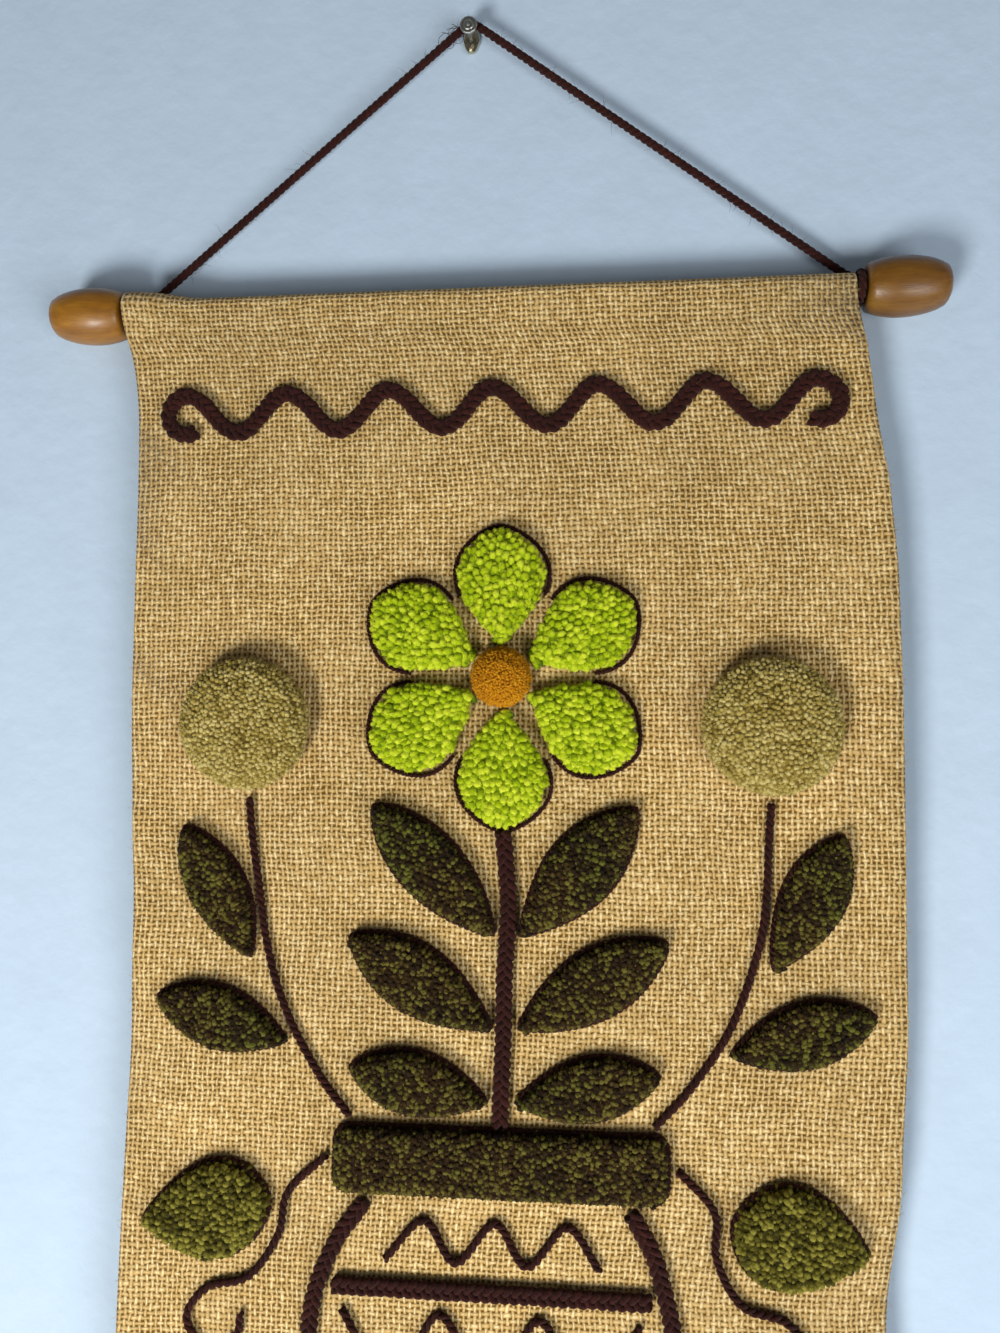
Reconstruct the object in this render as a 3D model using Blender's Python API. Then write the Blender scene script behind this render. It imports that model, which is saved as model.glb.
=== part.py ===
# Yarn wall hanging: a burlap panel on a wooden rod, worked with tufted yarn shapes and couched braid,
# held up by a yarn cord over a nail in a picture hook.
# The frame's origin is on the wall, at the hook's flat back. +X is to the viewer's right, -Y is
# towards the viewer, +Z is up. A point of the cloth is given as (across, down): across from the
# middle of the cloth and down from the rod's axis.

import math

import bmesh
import bpy
from mathutils import Vector

MM = 0.001

# Gaps
GAP = 0.35 * MM  # between the cloth and what is worked on it
SEAT = 0.3 * MM  # between hard pieces

# Rod and its turned ends
ROD_X = 6.3 * MM  # the rod's middle, right of the nail
ROD_Y = -11.6 * MM
ROD_Z = -119.0 * MM
ROD_R = 4.0 * MM
ROD_HALF = 158 * MM
FINIAL_R = 11.3 * MM
FINIAL_INNER = 147.9 * MM  # the turned end's inner face, from the rod's middle
FINIAL_LENGTH = 30.4 * MM
BORE_DEPTH = 10.6 * MM

# Nail and picture hook
NAIL_Z = -3.2 * MM
NAIL_R = 1.0 * MM
NAIL_OUT = 11.4 * MM
NAIL_HEAD_R = 3.6 * MM
NAIL_HEAD_THICK = 1.3 * MM
# The hook's strip from its top to its turned-up tip, in mm:
# (back y, front y, back z, front z, half width)
HOOK = (
    (0, -0.9, 2.6, 2.6, 2.4),
    (0, -0.9, -3.0, -3.0, 3.3),
    (0, -0.9, -5.0, -5.0, 2.9),
    (0, -0.9, -7.5, -7.3, 1.75),
    (-0.6, -1.4, -8.7, -8.1, 1.2),
    (-1.7, -1.9, -9.3, -8.4, 0.8),
    (-3.1, -2.6, -9.1, -8.3, 0.6),
    (-3.9, -3.1, -7.9, -7.6, 0.45),
)

# Hanging cord
CORD_R = 1.7 * MM
CORD_Y = -6.0 * MM  # where it crosses the nail
LOOP_R = 1.5 * MM
LOOP_LEFT = -143.2 * MM  # from the rod's middle
LOOP_RIGHT = 145.8 * MM

# Cloth
CLOTH_T = 1.2 * MM
CLOTH_LENGTH = 612 * MM
SLEEVE_DEPTH = 36 * MM
HEM_DEPTH = 20 * MM
SLEEVE_ROOM = 0.55 * MM
SLEEVE_R = ROD_R + SLEEVE_ROOM + CLOTH_T / 2
SLEEVE_R_LEFT = ROD_R + 2 * LOOP_R + 2 * SLEEVE_ROOM + CLOTH_T / 2
FRONT_Y = ROD_Y - SLEEVE_R - CLOTH_T / 2
COLUMNS = 22

# The cloth's edges, measured from the rod's middle, in mm: (down, left edge, right edge)
EDGES = (
    (-8, -147.2, 143.5),
    (10, -145.0, 143.8),
    (24, -140.6, 147.2),
    (45, -138.6, 149.7),
    (84, -138.6, 155.0),
    (110, -139.0, 157.0),
    (160, -139.3, 157.6),
    (205, -138.0, 157.8),
    (238, -135.3, 158.0),
    (275, -137.0, 158.4),
    (331, -138.2, 155.5),
    (385, -138.8, 149.0),
    (440, -139.4, 150.6),
    (520, -137.6, 154.0),
    (620, -139.0, 153.0),
)

# Soft swells of the cloth towards the viewer, in mm:
# (height, across, down, spread across, spread down, turn in degrees)
SWELLS = (
    (5.0, -166, 240, 26, 22, 0),
    (-3.0, -162, 300, 26, 32, 0),
    (3.0, -160, 405, 34, 46, 0),
    (-2.0, 118, 285, 50, 110, 62),
    (1.6, 120, 170, 60, 70, 0),
    (-8.0, 166, 392, 26, 58, 0),
    (4.0, 150, 520, 38, 60, 0),
    (-3.2, -140, 540, 46, 50, 0),
    (2.6, 10, 560, 90, 40, 0),
)

# Yarn
BRAID_W = 7.0 * MM
BRAID_H = 4.0 * MM
YARN_W = 3.4 * MM
YARN_H = 2.9 * MM
PILE_H = 8.0 * MM
LEDGE_W = 2.4 * MM  # the outline yarn at the foot of the cut pile
PILE_STEPS = 16

# Wavy border with curled ends
BORDER_DOWN = 45 * MM
BORDER_WAVES = 6
BORDER_WAVE = 41 * MM
BORDER_RISE = 7.8 * MM
CURL_R = 9 * MM

# Lime flower with a round middle
FLOWER = (0.0, 150 * MM)
PETALS = 6
PETAL_LENGTH = 42 * MM
PETAL_WIDTH = 32 * MM
PETAL_START = 14.2 * MM
MIDDLE_R = 13 * MM
MIDDLE_H = 13.5 * MM

# Pale round tufts on the side stems
TUFT_AT = (100 * MM, 168 * MM)
TUFT_R = 26 * MM
TUFT_H = 15 * MM

# Dark leaves on one side, in mm and degrees: (across, down, angle above level, length, width)
DARK_LEAVES = (
    (6.5, 246, 47, 62, 22),
    (7.0, 281, 31, 60, 22),
    (7.5, 309, 12, 50, 20),
    (100, 256, 62, 52, 19),
    (86, 289, 17, 50, 20),
)

# Light leaves beside the pot: (across, down, angle above level, length, width)
LIGHT_LEAF = (88.5, 350, -10, 46, 33)

# Stems, as the points that their smooth lines run through: (across, down) in mm
MIDDLE_STEM = ((0, 208.6), (0.6, 235), (-0.4, 270), (0, 318.2))
SIDE_STEM = ((57.5, 316.6), (70, 302), (84, 279), (93, 252), (97, 225), (99.5, 197))
TENDRIL = (
    (66.2, 332),
    (80, 346),
    (82, 362),
    (92, 378),
    (108, 383),
    (116, 394),
    (109, 405),
    (97, 401),
    (95, 392),
)

# Pot: pile rim and foot as (top, bottom, half width), braid sides and bands, thin yarn waves
POT_RIM = (321.5 * MM, 342.5 * MM, 61 * MM)
POT_FOOT = (474 * MM, 492 * MM, 43 * MM)
POT_SIDE = ((50, 347.8), (60, 364), (67, 386), (68, 408), (62, 432), (50, 453), (43, 468.6))
POT_BANDS = ((379, 59.3), (425, 58.2))  # (down, half length)
# Thin yarn waves, in mm: (down of the middle turn and every second one, down of the others, across from
# one turn to the next, turns on each side of the middle)
POT_WAVES = (
    (354, 369, 13.4, 3),
    (416, 388, 18.6, 3),
    (434, 450, 15, 3),
)


def smooth(t):
    """0 to 1 with level ends."""
    t = min(1.0, max(0.0, t))
    return t * t * (3 - 2 * t)


def edge(down, column):
    """The cloth's left (column 1) or right (column 2) edge at a height, from the rod's middle."""
    at = down / MM
    for low, high in zip(EDGES, EDGES[1:]):
        if at <= high[0]:
            share = smooth((at - low[0]) / (high[0] - low[0]))
            return (low[column] + (high[column] - low[column]) * share) * MM
    return EDGES[-1][column] * MM


def middle(down):
    """The middle of the cloth at a height, in the frame's x."""
    return ROD_X + (edge(down, 1) + edge(down, 2)) / 2


def swell(across, down):
    """How far the cloth stands out towards the viewer."""
    out = 0.0
    for height, a, d, wide, tall, turn in SWELLS:
        t = math.radians(turn)
        x, y = across / MM - a, down / MM - d
        p, q = x * math.cos(t) + y * math.sin(t), -x * math.sin(t) + y * math.cos(t)
        out += height * MM * math.exp(-((p / wide) ** 2) - (q / tall) ** 2)
    return out * smooth((down - 30 * MM) / (60 * MM))


def on_cloth(across, down, height=0.0):
    """A point that stands a height in front of the cloth's front face."""
    y = FRONT_Y - swell(across, down) - height
    return Vector((middle(down) + across, y, ROD_Z - down))


def smooth_line(points, step):
    """A smooth curve through the points, as points about a step apart."""
    p = [Vector(q) for q in points]
    p = [2 * p[0] - p[1]] + p + [2 * p[-1] - p[-2]]
    line = []
    for i in range(1, len(p) - 2):
        parts = max(1, round((p[i + 1] - p[i]).length / step))
        for k in range(parts):
            t = k / parts
            a = 2 * p[i]
            b = p[i + 1] - p[i - 1]
            c = 2 * p[i - 1] - 5 * p[i] + 4 * p[i + 1] - p[i + 2]
            d = 3 * p[i] - p[i - 1] - 3 * p[i + 1] + p[i + 2]
            line.append((a + b * t + c * t * t + d * t * t * t) / 2)
    return line + [p[-2]]


def in_mm(points):
    return [(a * MM, d * MM) for a, d in points]


def mirrored(points):
    return [(-a, d) for a, d in points]


def material(name, colour, roughness, metallic=0.0):
    made = bpy.data.materials.get(name)
    if made is None:
        made = bpy.data.materials.new(name)
        made.use_nodes = True
        shader = made.node_tree.nodes["Principled BSDF"]
        shader.inputs["Base Color"].default_value = (*colour, 1)
        shader.inputs["Roughness"].default_value = roughness
        shader.inputs["Metallic"].default_value = metallic
    return made


BURLAP = material("burlap", (0.45, 0.30, 0.13), 0.95)
BROWN_YARN = material("brown_yarn", (0.035, 0.010, 0.008), 0.95)
DARK_OLIVE = material("dark_olive_yarn", (0.042, 0.028, 0.006), 0.95)
LIGHT_OLIVE = material("light_olive_yarn", (0.12, 0.12, 0.015), 0.95)
LIME = material("lime_yarn", (0.32, 0.42, 0.01), 0.9)
PALE = material("pale_yarn", (0.36, 0.30, 0.08), 0.95)
ORANGE = material("orange_yarn", (0.40, 0.14, 0.003), 0.95)
WOOD = material("honey_wood", (0.33, 0.15, 0.035), 0.35)
STEEL = material("nail_steel", (0.45, 0.44, 0.42), 0.4, 1.0)
BRASS = material("hook_brass", (0.55, 0.42, 0.18), 0.35, 1.0)


def finish(name, bm, finish_material, parent, round_shaded=False):
    """A bmesh made into a named object on its parent, with its faces pointing out."""
    bmesh.ops.remove_doubles(bm, verts=bm.verts, dist=0.00001)
    bmesh.ops.recalc_face_normals(bm, faces=bm.faces)
    mesh = bpy.data.meshes.new(name)
    bm.to_mesh(mesh)
    bm.free()
    mesh.materials.append(finish_material)
    if round_shaded:
        mesh.shade_smooth()
        mesh.set_sharp_from_angle(angle=math.radians(40))
    made = bpy.data.objects.new(name, mesh)
    bpy.context.scene.collection.objects.link(made)
    made.parent = parent
    return made


def loft(rings, closed=False, capped=True):
    """A bmesh skinned over rings of equally many points."""
    bm = bmesh.new()
    loops = []
    for ring in rings:
        verts = [bm.verts.new(p) for p in ring]
        loops.append([bm.edges.new((verts[i - 1], verts[i])) for i in range(len(verts))])
    pairs = list(zip(loops, loops[1:]))
    if closed:
        pairs.append((loops[-1], loops[0]))
    for one, two in pairs:
        bmesh.ops.bridge_loops(bm, edges=one + two)
    if capped and not closed:
        for loop in (loops[0], loops[-1]):
            bmesh.ops.contextual_create(bm, geom=loop)
    return bm


def grown(outline, by):
    """A flat outline about its own origin, made larger or smaller all round."""
    wide, tall = max(p.x for p in outline), max(p.y for p in outline)
    return [Vector((p.x * (1 + by / wide), p.y * (1 + by / tall))) for p in outline]


def lens(length, width, share_of_widest, blunt, steps=PILE_STEPS):
    """A closed outline along +x about its own middle, widest at a share of its length."""
    side = []
    half = steps // 2
    power = math.log(0.5) / math.log(share_of_widest)
    for i in range(1, half):
        t = (1 - math.cos(math.pi * i / half)) / 2
        across = width / 2 * math.sin(math.pi * t**power) ** blunt
        side.append(Vector(((t - 0.5) * length, across)))
    foot, tip = Vector((-length / 2, 0)), Vector((length / 2, 0))
    return [foot] + [Vector((p.x, -p.y)) for p in side] + [tip] + side[::-1]


def bar(length, width, corner=5 * MM, steps=6):
    """A closed outline of a bar with rounded corners about its own middle."""
    outline = []
    for k, (sx, sy) in enumerate(((-1, 1), (1, 1), (1, -1), (-1, -1))):
        centre = Vector((sx * (length / 2 - corner), sy * (width / 2 - corner)))
        for i in range(3):
            turn = math.pi * (1 - k / 2) - math.pi / 4 * i
            outline.append(centre + Vector((math.cos(turn), math.sin(turn))) * corner)
        if k in (0, 2):
            start = outline[-1]
            way = Vector(((length - 2 * corner) * (1 if k == 0 else -1) / steps, 0))
            outline += [start + way * j for j in range(1, steps)]
    return outline


def disc(radius, steps):
    turns = [2 * math.pi * i / steps for i in range(steps)]
    return [Vector((radius * math.cos(t), radius * math.sin(t))) for t in turns]


def tufted(outline, at, angle, height, rings, dome):
    """A raised slab of pile. at and angle place the outline on the cloth; rings are (outwards, share of
    the height); dome is how far the middle rises above the last ring, as a share."""
    c, s = math.cos(angle), math.sin(angle)

    def put(p, share):
        return on_cloth(at[0] + p.x * c + p.y * s, at[1] - p.x * s + p.y * c, GAP + height * share)

    shapes = [(grown(outline, out), share) for out, share in rings]
    inner = [p * 0.5 for p in shapes[0][0]]
    made = [[put(p, share) for p in ring] for ring, share in [(inner, 0), *shapes]]
    bm = loft(made, capped=False)
    bm.verts.ensure_lookup_table()
    n = len(outline)
    for i in range(n // 2 - 1):
        bm.faces.new([bm.verts[k] for k in (i, i + 1, n - 2 - i, n - 1 - i)])
    peak = bm.verts.new(put(Vector((0, 0)), rings[-1][1] + dome))
    bm.verts.ensure_lookup_table()
    last = len(made) * n - n
    for i in range(n):
        bm.faces.new((bm.verts[last + i], bm.verts[last + (i + 1) % n], peak))
    return bm


def leaf(at, angle, length, width, share_of_widest, blunt, height, rings, dome, steps=PILE_STEPS):
    """A tufted leaf or petal that grows from a point of the cloth at an angle above level."""
    middle_at = (at[0] + length / 2 * math.cos(angle), at[1] - length / 2 * math.sin(angle))
    outline = lens(length, width, share_of_widest, blunt, steps)
    return tufted(outline, middle_at, angle, height, rings, dome)


CUT_PILE = (
    (LEDGE_W, 0),
    (LEDGE_W, 0.24),
    (1.1 * MM, 0.36),
    (1.5 * MM, 0.66),
    (-0.4 * MM, 0.92),
    (-3 * MM, 1),
)
LOOP_PILE = ((0.2 * MM, 0), (1.4 * MM, 0.45), (0.4 * MM, 0.78), (-3 * MM, 1))
ROUND_TUFT = ((0, 0), (1.6 * MM, 0.3), (0.6 * MM, 0.62), (-4 * MM, 0.86), (-12 * MM, 0.98))
BALL_TUFT = ((-1.2 * MM, 0), (0.4 * MM, 0.36), (-1.6 * MM, 0.7), (-6 * MM, 0.95))

YARN_PROFILE = ((-0.5, 0), (-0.46, 0.6), (0, 1), (0.46, 0.6), (0.5, 0))
BRAID_PROFILE = ((-0.5, 0), (-0.47, 0.68), (-0.16, 1), (0.16, 1), (0.47, 0.68), (0.5, 0))


def couched(line, width, height, profile):
    """A yarn or braid laid along a line of the cloth and stitched down."""
    rings = []
    for i, p in enumerate(line):
        before, after = line[max(i - 1, 0)], line[min(i + 1, len(line) - 1)]
        t = (Vector(after) - Vector(before)).normalized()
        side = Vector((t.y, -t.x))
        ring = []
        for w, h in profile:
            q = Vector(p) + side * (w * width)
            ring.append(on_cloth(q.x, q.y, GAP + h * height))
        rings.append(ring)
    return loft(rings)


def remove_everything():
    for thing in list(bpy.data.objects):
        bpy.data.objects.remove(thing)


def section(across_share):
    """The cloth's middle layer from the sleeve's sewn edge, over the rod and down to the turned hem, at a
    share of its width. Each point is (down, left share, y, z): the back of the sleeve is trimmed at its
    left end, where left share is 0."""
    points = []
    x = edge(0, 1) * (1 - across_share) + edge(0, 2) * across_share
    near_loop = smooth((-125 * MM - x) / (11 * MM))
    radius = SLEEVE_R + (SLEEVE_R_LEFT - SLEEVE_R) * near_loop
    front_y = FRONT_Y + CLOTH_T / 2
    flap_y = front_y + CLOTH_T + 0.5 * MM
    for down in (36, 25, 13, 5):
        share = (down * MM / SLEEVE_DEPTH) ** 0.8
        y = (ROD_Y + SLEEVE_R) * (1 - share) + flap_y * share
        points.append((down * MM, 0.0, y, ROD_Z - down * MM))
    for degrees in range(0, 181, 20):
        a = math.radians(degrees)
        full = smooth((degrees - 50) / 60)
        reach = SLEEVE_R + (radius - SLEEVE_R) * smooth(degrees / 50)
        points.append((0.0, full, ROD_Y + reach * math.cos(a), ROD_Z + reach * math.sin(a)))
    rows = [9, 20, 36] + [50 + 13.6 * i for i in range(42)]
    for down in rows:
        down *= MM
        if down > CLOTH_LENGTH - 4 * MM:
            break
        here = edge(down, 1) * (1 - across_share) + edge(down, 2) * across_share
        across = here - (edge(down, 1) + edge(down, 2)) / 2
        bulge = swell(across, down) + (radius - SLEEVE_R) * (1 - smooth(down / (26 * MM)))
        points.append((down, 1.0, front_y - bulge, ROD_Z - down))
    foot = CLOTH_LENGTH
    here = edge(foot, 1) * (1 - across_share) + edge(foot, 2) * across_share
    y = front_y - swell(here - (edge(foot, 1) + edge(foot, 2)) / 2, foot)
    turn = 0.95 * MM
    points.append((foot, 1.0, y, ROD_Z - foot))
    for degrees in (45, 90, 135):
        a = math.radians(degrees)
        z = ROD_Z - foot - turn * math.sin(a)
        points.append((foot, 1.0, y + turn * (1 - math.cos(a)), z))
    points.append((foot, 1.0, y + 2 * turn, ROD_Z - foot))
    for share in (0.5, 1.0):
        up = foot - HEM_DEPTH * share
        here = edge(up, 1) * (1 - across_share) + edge(up, 2) * across_share
        y = front_y - swell(here - (edge(up, 1) + edge(up, 2)) / 2, up)
        points.append((up, 1.0, y + 2 * turn, ROD_Z - up))
    return points


def burlap_panel(parent):
    """One sheet of cloth, folded over the rod as a sleeve and turned up at the foot as a hem."""
    flap_left = -134 * MM
    middle_points = []
    for column in range(COLUMNS + 1):
        share = column / COLUMNS
        line = []
        for down, full, y, z in section(share):
            left = flap_left + (edge(down, 1) - flap_left) * full
            x = ROD_X + left * (1 - share) + edge(down, 2) * share
            line.append(Vector((x, y, z)))
        middle_points.append(line)
    bm = bmesh.new()
    fronts, backs = [], []
    rows = len(middle_points[0])
    for column, line in enumerate(middle_points):
        fronts.append([])
        backs.append([])
        for row, p in enumerate(line):
            along = line[min(row + 1, rows - 1)] - line[max(row - 1, 0)]
            right = middle_points[min(column + 1, COLUMNS)][row]
            left = middle_points[max(column - 1, 0)][row]
            normal = along.cross(right - left).normalized() * (CLOTH_T / 2)
            fronts[-1].append(bm.verts.new(p + normal))
            backs[-1].append(bm.verts.new(p - normal))
    for sheet in (fronts, backs):
        for c in range(COLUMNS):
            for r in range(rows - 1):
                bm.faces.new((sheet[c][r], sheet[c + 1][r], sheet[c + 1][r + 1], sheet[c][r + 1]))
    for r in range(rows - 1):
        for c in (0, COLUMNS):
            bm.faces.new((fronts[c][r], fronts[c][r + 1], backs[c][r + 1], backs[c][r]))
    for c in range(COLUMNS):
        for r in (0, rows - 1):
            bm.faces.new((fronts[c][r], fronts[c + 1][r], backs[c + 1][r], backs[c][r]))
    return finish("burlap_panel", bm, BURLAP, parent, round_shaded=True)


def turned(profile, steps):
    """A solid of revolution about the x axis from (x, radius) points."""
    rings = []
    for x, r in profile:
        turns = [2 * math.pi * i / steps for i in range(steps)]
        rings.append([Vector((x, r * math.cos(t), r * math.sin(t))) for t in turns])
    return loft(rings)


def rod(parent):
    bm = turned(((-ROD_HALF, ROD_R), (-ROD_HALF / 3, ROD_R), (ROD_HALF / 3, ROD_R), (ROD_HALF, ROD_R)), 16)
    made = finish("rod", bm, WOOD, parent, round_shaded=True)
    made.location = (ROD_X, ROD_Y, ROD_Z)


def cutter(name, bm, parent):
    """A tool for a Boolean, left out of the part."""
    made = finish(name, bm, WOOD, parent)
    made.hide_render = True
    made.display_type = "WIRE"
    return made


def cut(target, tool):
    boolean = target.modifiers.new("cut", "BOOLEAN")
    boolean.operation = "DIFFERENCE"
    boolean.object = tool


def finial(side, parent):
    """A barrel-shaped turned end, bored for the rod. side is -1 or 1."""
    # (share of the length from the inner face, share of the largest radius)
    shape = (
        (0, 0.77),
        (0.03, 0.8),
        (0.16, 0.91),
        (0.32, 0.985),
        (0.45, 1),
        (0.6, 0.975),
        (0.76, 0.9),
        (0.89, 0.79),
        (0.97, 0.68),
        (1, 0.58),
    )
    bm = turned([(side * t * FINIAL_LENGTH, r * FINIAL_R) for t, r in shape], 24)
    name = "finial_left" if side < 0 else "finial_right"
    made = finish(name, bm, WOOD, parent, round_shaded=True)
    made.location = (ROD_X + side * FINIAL_INNER, ROD_Y, ROD_Z)
    bore = turned(((-5 * MM * side, ROD_R + SEAT), (BORE_DEPTH * side, ROD_R + SEAT)), 16)
    tool = cutter(name + "_bore", bore, parent)
    tool.location = made.location
    cut(made, tool)


def nail(parent):
    """A round-headed nail that ends at the wall's face."""
    profile = (
        (0.2 * MM, 0),
        (0.2 * MM, NAIL_R),
        (NAIL_OUT - NAIL_HEAD_THICK, NAIL_R),
        (NAIL_OUT - NAIL_HEAD_THICK, NAIL_HEAD_R),
        (NAIL_OUT - 0.5 * MM, NAIL_HEAD_R),
        (NAIL_OUT - 0.15 * MM, NAIL_HEAD_R * 0.72),
        (NAIL_OUT, 0),
    )
    bm = bmesh.new()
    verts = [bm.verts.new((r, -out, 0)) for out, r in profile]
    edges = [bm.edges.new(pair) for pair in zip(verts, verts[1:])]
    bmesh.ops.spin(
        bm, geom=verts + edges, axis=(0, 1, 0), cent=(0, 0, 0), angle=2 * math.pi, steps=16, use_merge=True
    )
    bmesh.ops.translate(bm, verts=bm.verts, vec=(0, 0, NAIL_Z))
    finish("nail", bm, STEEL, parent, round_shaded=True)


def picture_hook(parent):
    """A flat strip against the wall whose pointed foot turns up as a hook, with a hole for the nail."""
    rings = []
    for back_y, front_y, back_z, front_z, half in HOOK:
        back = [(-half, back_y, back_z), (half, back_y, back_z)]
        front = [(half, front_y, front_z), (-half, front_y, front_z)]
        rings.append([Vector(p) * MM for p in back + front])
    made = finish("picture_hook", loft(rings), BRASS, parent)
    steps = 12
    turns = [2 * math.pi * i / steps for i in range(steps)]
    hole_r = NAIL_R + SEAT
    rings = []
    for y in (-5 * MM, 5 * MM):
        rings.append([Vector((hole_r * math.cos(t), y, hole_r * math.sin(t))) for t in turns])
    bm = loft(rings)
    bmesh.ops.translate(bm, verts=bm.verts, vec=(0, 0, NAIL_Z))
    cut(made, cutter("hook_hole", bm, parent))


def hanging_cord(parent):
    """The yarn cord from the left loop up over the nail and down to the right loop."""
    apex = NAIL_Z + NAIL_R + SEAT + CORD_R
    # Where the two straight runs would meet, and the ends at the loops
    peak = Vector((0.5 * MM, CORD_Y, apex + 1.7 * MM))
    lift = math.radians(50)
    leave = Vector((0, math.cos(lift), math.sin(lift)))
    tied = {}
    for way, loop_x in ((1, LOOP_LEFT), (-1, LOOP_RIGHT)):
        centre = Vector((ROD_X + loop_x, ROD_Y, ROD_Z))
        # (sideways towards the nail, out from the rod's axis), in mm
        steps = ((0, 7.42), (0.3, 8.6), (1.3, 10.0), (3.2, 11.5))
        tied[way] = [centre + Vector((way * side * MM, 0, 0)) + leave * (out * MM) for side, out in steps]
    left, right = tied[1][-1], tied[-1][-1]
    bend = 5.4 * MM
    over = [
        peak + (left - peak).normalized() * bend * 1.2,
        peak + (left - peak).normalized() * bend * 0.42 + Vector((0, 0, -0.7 * MM)),
        Vector((peak.x, CORD_Y, apex)),
        peak + (right - peak).normalized() * bend * 0.42 + Vector((0, 0, -0.7 * MM)),
        peak + (right - peak).normalized() * bend * 1.2,
    ]
    route = [*tied[1], left.lerp(over[0], 0.34), left.lerp(over[0], 0.68), *over]
    route += [over[-1].lerp(right, 0.32), over[-1].lerp(right, 0.66), *tied[-1][::-1]]
    points = smooth_line(route, 8 * MM)
    curve = bpy.data.curves.new("hanging_cord", "CURVE")
    curve.dimensions = "3D"
    spline = curve.splines.new("POLY")
    spline.points.add(len(points) - 1)
    for place, p in zip(spline.points, points):
        place.co = (*p, 1)
    curve.bevel_depth = CORD_R
    curve.bevel_resolution = 2
    curve.use_fill_caps = True
    curve.materials.append(BROWN_YARN)
    made = bpy.data.objects.new("hanging_cord", curve)
    bpy.context.scene.collection.objects.link(made)
    made.parent = parent


def cord_loop(name, x, parent):
    """One turn of the cord round the bare rod, where it is tied."""
    big = ROD_R + SEAT * 0.8 + LOOP_R
    rings = []
    for i in range(18):
        a = 2 * math.pi * i / 18
        out = Vector((0, math.cos(a), math.sin(a)))
        ring = []
        for k in range(8):
            b = 2 * math.pi * k / 8
            ring.append(out * (big + LOOP_R * math.cos(b)) + Vector((LOOP_R * math.sin(b), 0, 0)))
        rings.append(ring)
    made = finish(name, loft(rings, closed=True), BROWN_YARN, parent, round_shaded=True)
    made.location = (ROD_X + x, ROD_Y, ROD_Z)


def border(parent):
    """A braid laid in even waves, each end curled down and in."""
    half = BORDER_WAVES * BORDER_WAVE / 2
    steps = BORDER_WAVES * 8
    line = []
    for i in range(steps + 1):
        across = -half + 2 * half * i / steps
        line.append((across, BORDER_DOWN - BORDER_RISE * math.cos(math.pi * across / BORDER_WAVE * 2)))
    ends = []
    for i in range(1, 9):
        turn = math.radians(26 * i)
        r = CURL_R - 0.3 * MM * i
        ends.append((half + r * math.sin(turn), line[-1][1] + CURL_R - r * math.cos(turn)))
    line = mirrored(ends)[::-1] + line + ends
    bm = couched(line, BRAID_W, BRAID_H, BRAID_PROFILE)
    finish("border", bm, BROWN_YARN, parent, round_shaded=True)


def flower(parent):
    for k in range(PETALS):
        angle = math.pi / 2 + 2 * math.pi * k / PETALS
        start = (FLOWER[0] + PETAL_START * math.cos(angle), FLOWER[1] - PETAL_START * math.sin(angle))
        bm = leaf(start, angle, PETAL_LENGTH, PETAL_WIDTH, 0.6, 0.62, PILE_H, LOOP_PILE, 0.12, 14)
        finish(f"petal_{k + 1}", bm, LIME, parent, round_shaded=True)
    bm = tufted(disc(MIDDLE_R - 1.4 * MM, 16), FLOWER, 0, MIDDLE_H, BALL_TUFT, 0.06)
    finish("flower_middle", bm, ORANGE, parent, round_shaded=True)


def round_tufts(parent):
    for side, name in ((-1, "round_tuft_left"), (1, "round_tuft_right")):
        at = (side * TUFT_AT[0], TUFT_AT[1])
        bm = tufted(disc(TUFT_R - 1.6 * MM, 24), at, 0, TUFT_H, ROUND_TUFT, 0.03)
        finish(name, bm, PALE, parent, round_shaded=True)


def dark_leaves(parent):
    for number, (a, d, angle, length, width) in enumerate(DARK_LEAVES, 1):
        for side, word in ((-1, "left"), (1, "right")):
            turn = math.radians(angle if side > 0 else 180 - angle)
            at = (side * a * MM, d * MM)
            bm = leaf(at, turn, length * MM, width * MM, 0.54, 0.72, PILE_H, CUT_PILE, 0.04)
            finish(f"dark_leaf_{word}_{number}", bm, DARK_OLIVE, parent, round_shaded=True)


def light_leaves(parent):
    a, d, angle, length, width = LIGHT_LEAF
    for side, word in ((-1, "left"), (1, "right")):
        turn = math.radians(angle if side > 0 else 180 - angle)
        at = (side * a * MM, d * MM)
        bm = leaf(at, turn, length * MM, width * MM, 0.4, 0.8, PILE_H, CUT_PILE, 0.08)
        finish(f"light_leaf_{word}", bm, LIGHT_OLIVE, parent, round_shaded=True)


def stems(parent):
    line = smooth_line(in_mm(MIDDLE_STEM), 12 * MM)
    finish("stem_middle", couched(line, BRAID_W, BRAID_H, BRAID_PROFILE), BROWN_YARN, parent, True)
    for name, points, step in (("stem", SIDE_STEM, 9 * MM), ("tendril", TENDRIL, 5.5 * MM)):
        line = smooth_line(in_mm(points), step)
        for word, side in (("left", mirrored(line)), ("right", line)):
            bm = couched(side, YARN_W, YARN_H, YARN_PROFILE)
            finish(f"{name}_{word}", bm, BROWN_YARN, parent, round_shaded=True)


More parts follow.
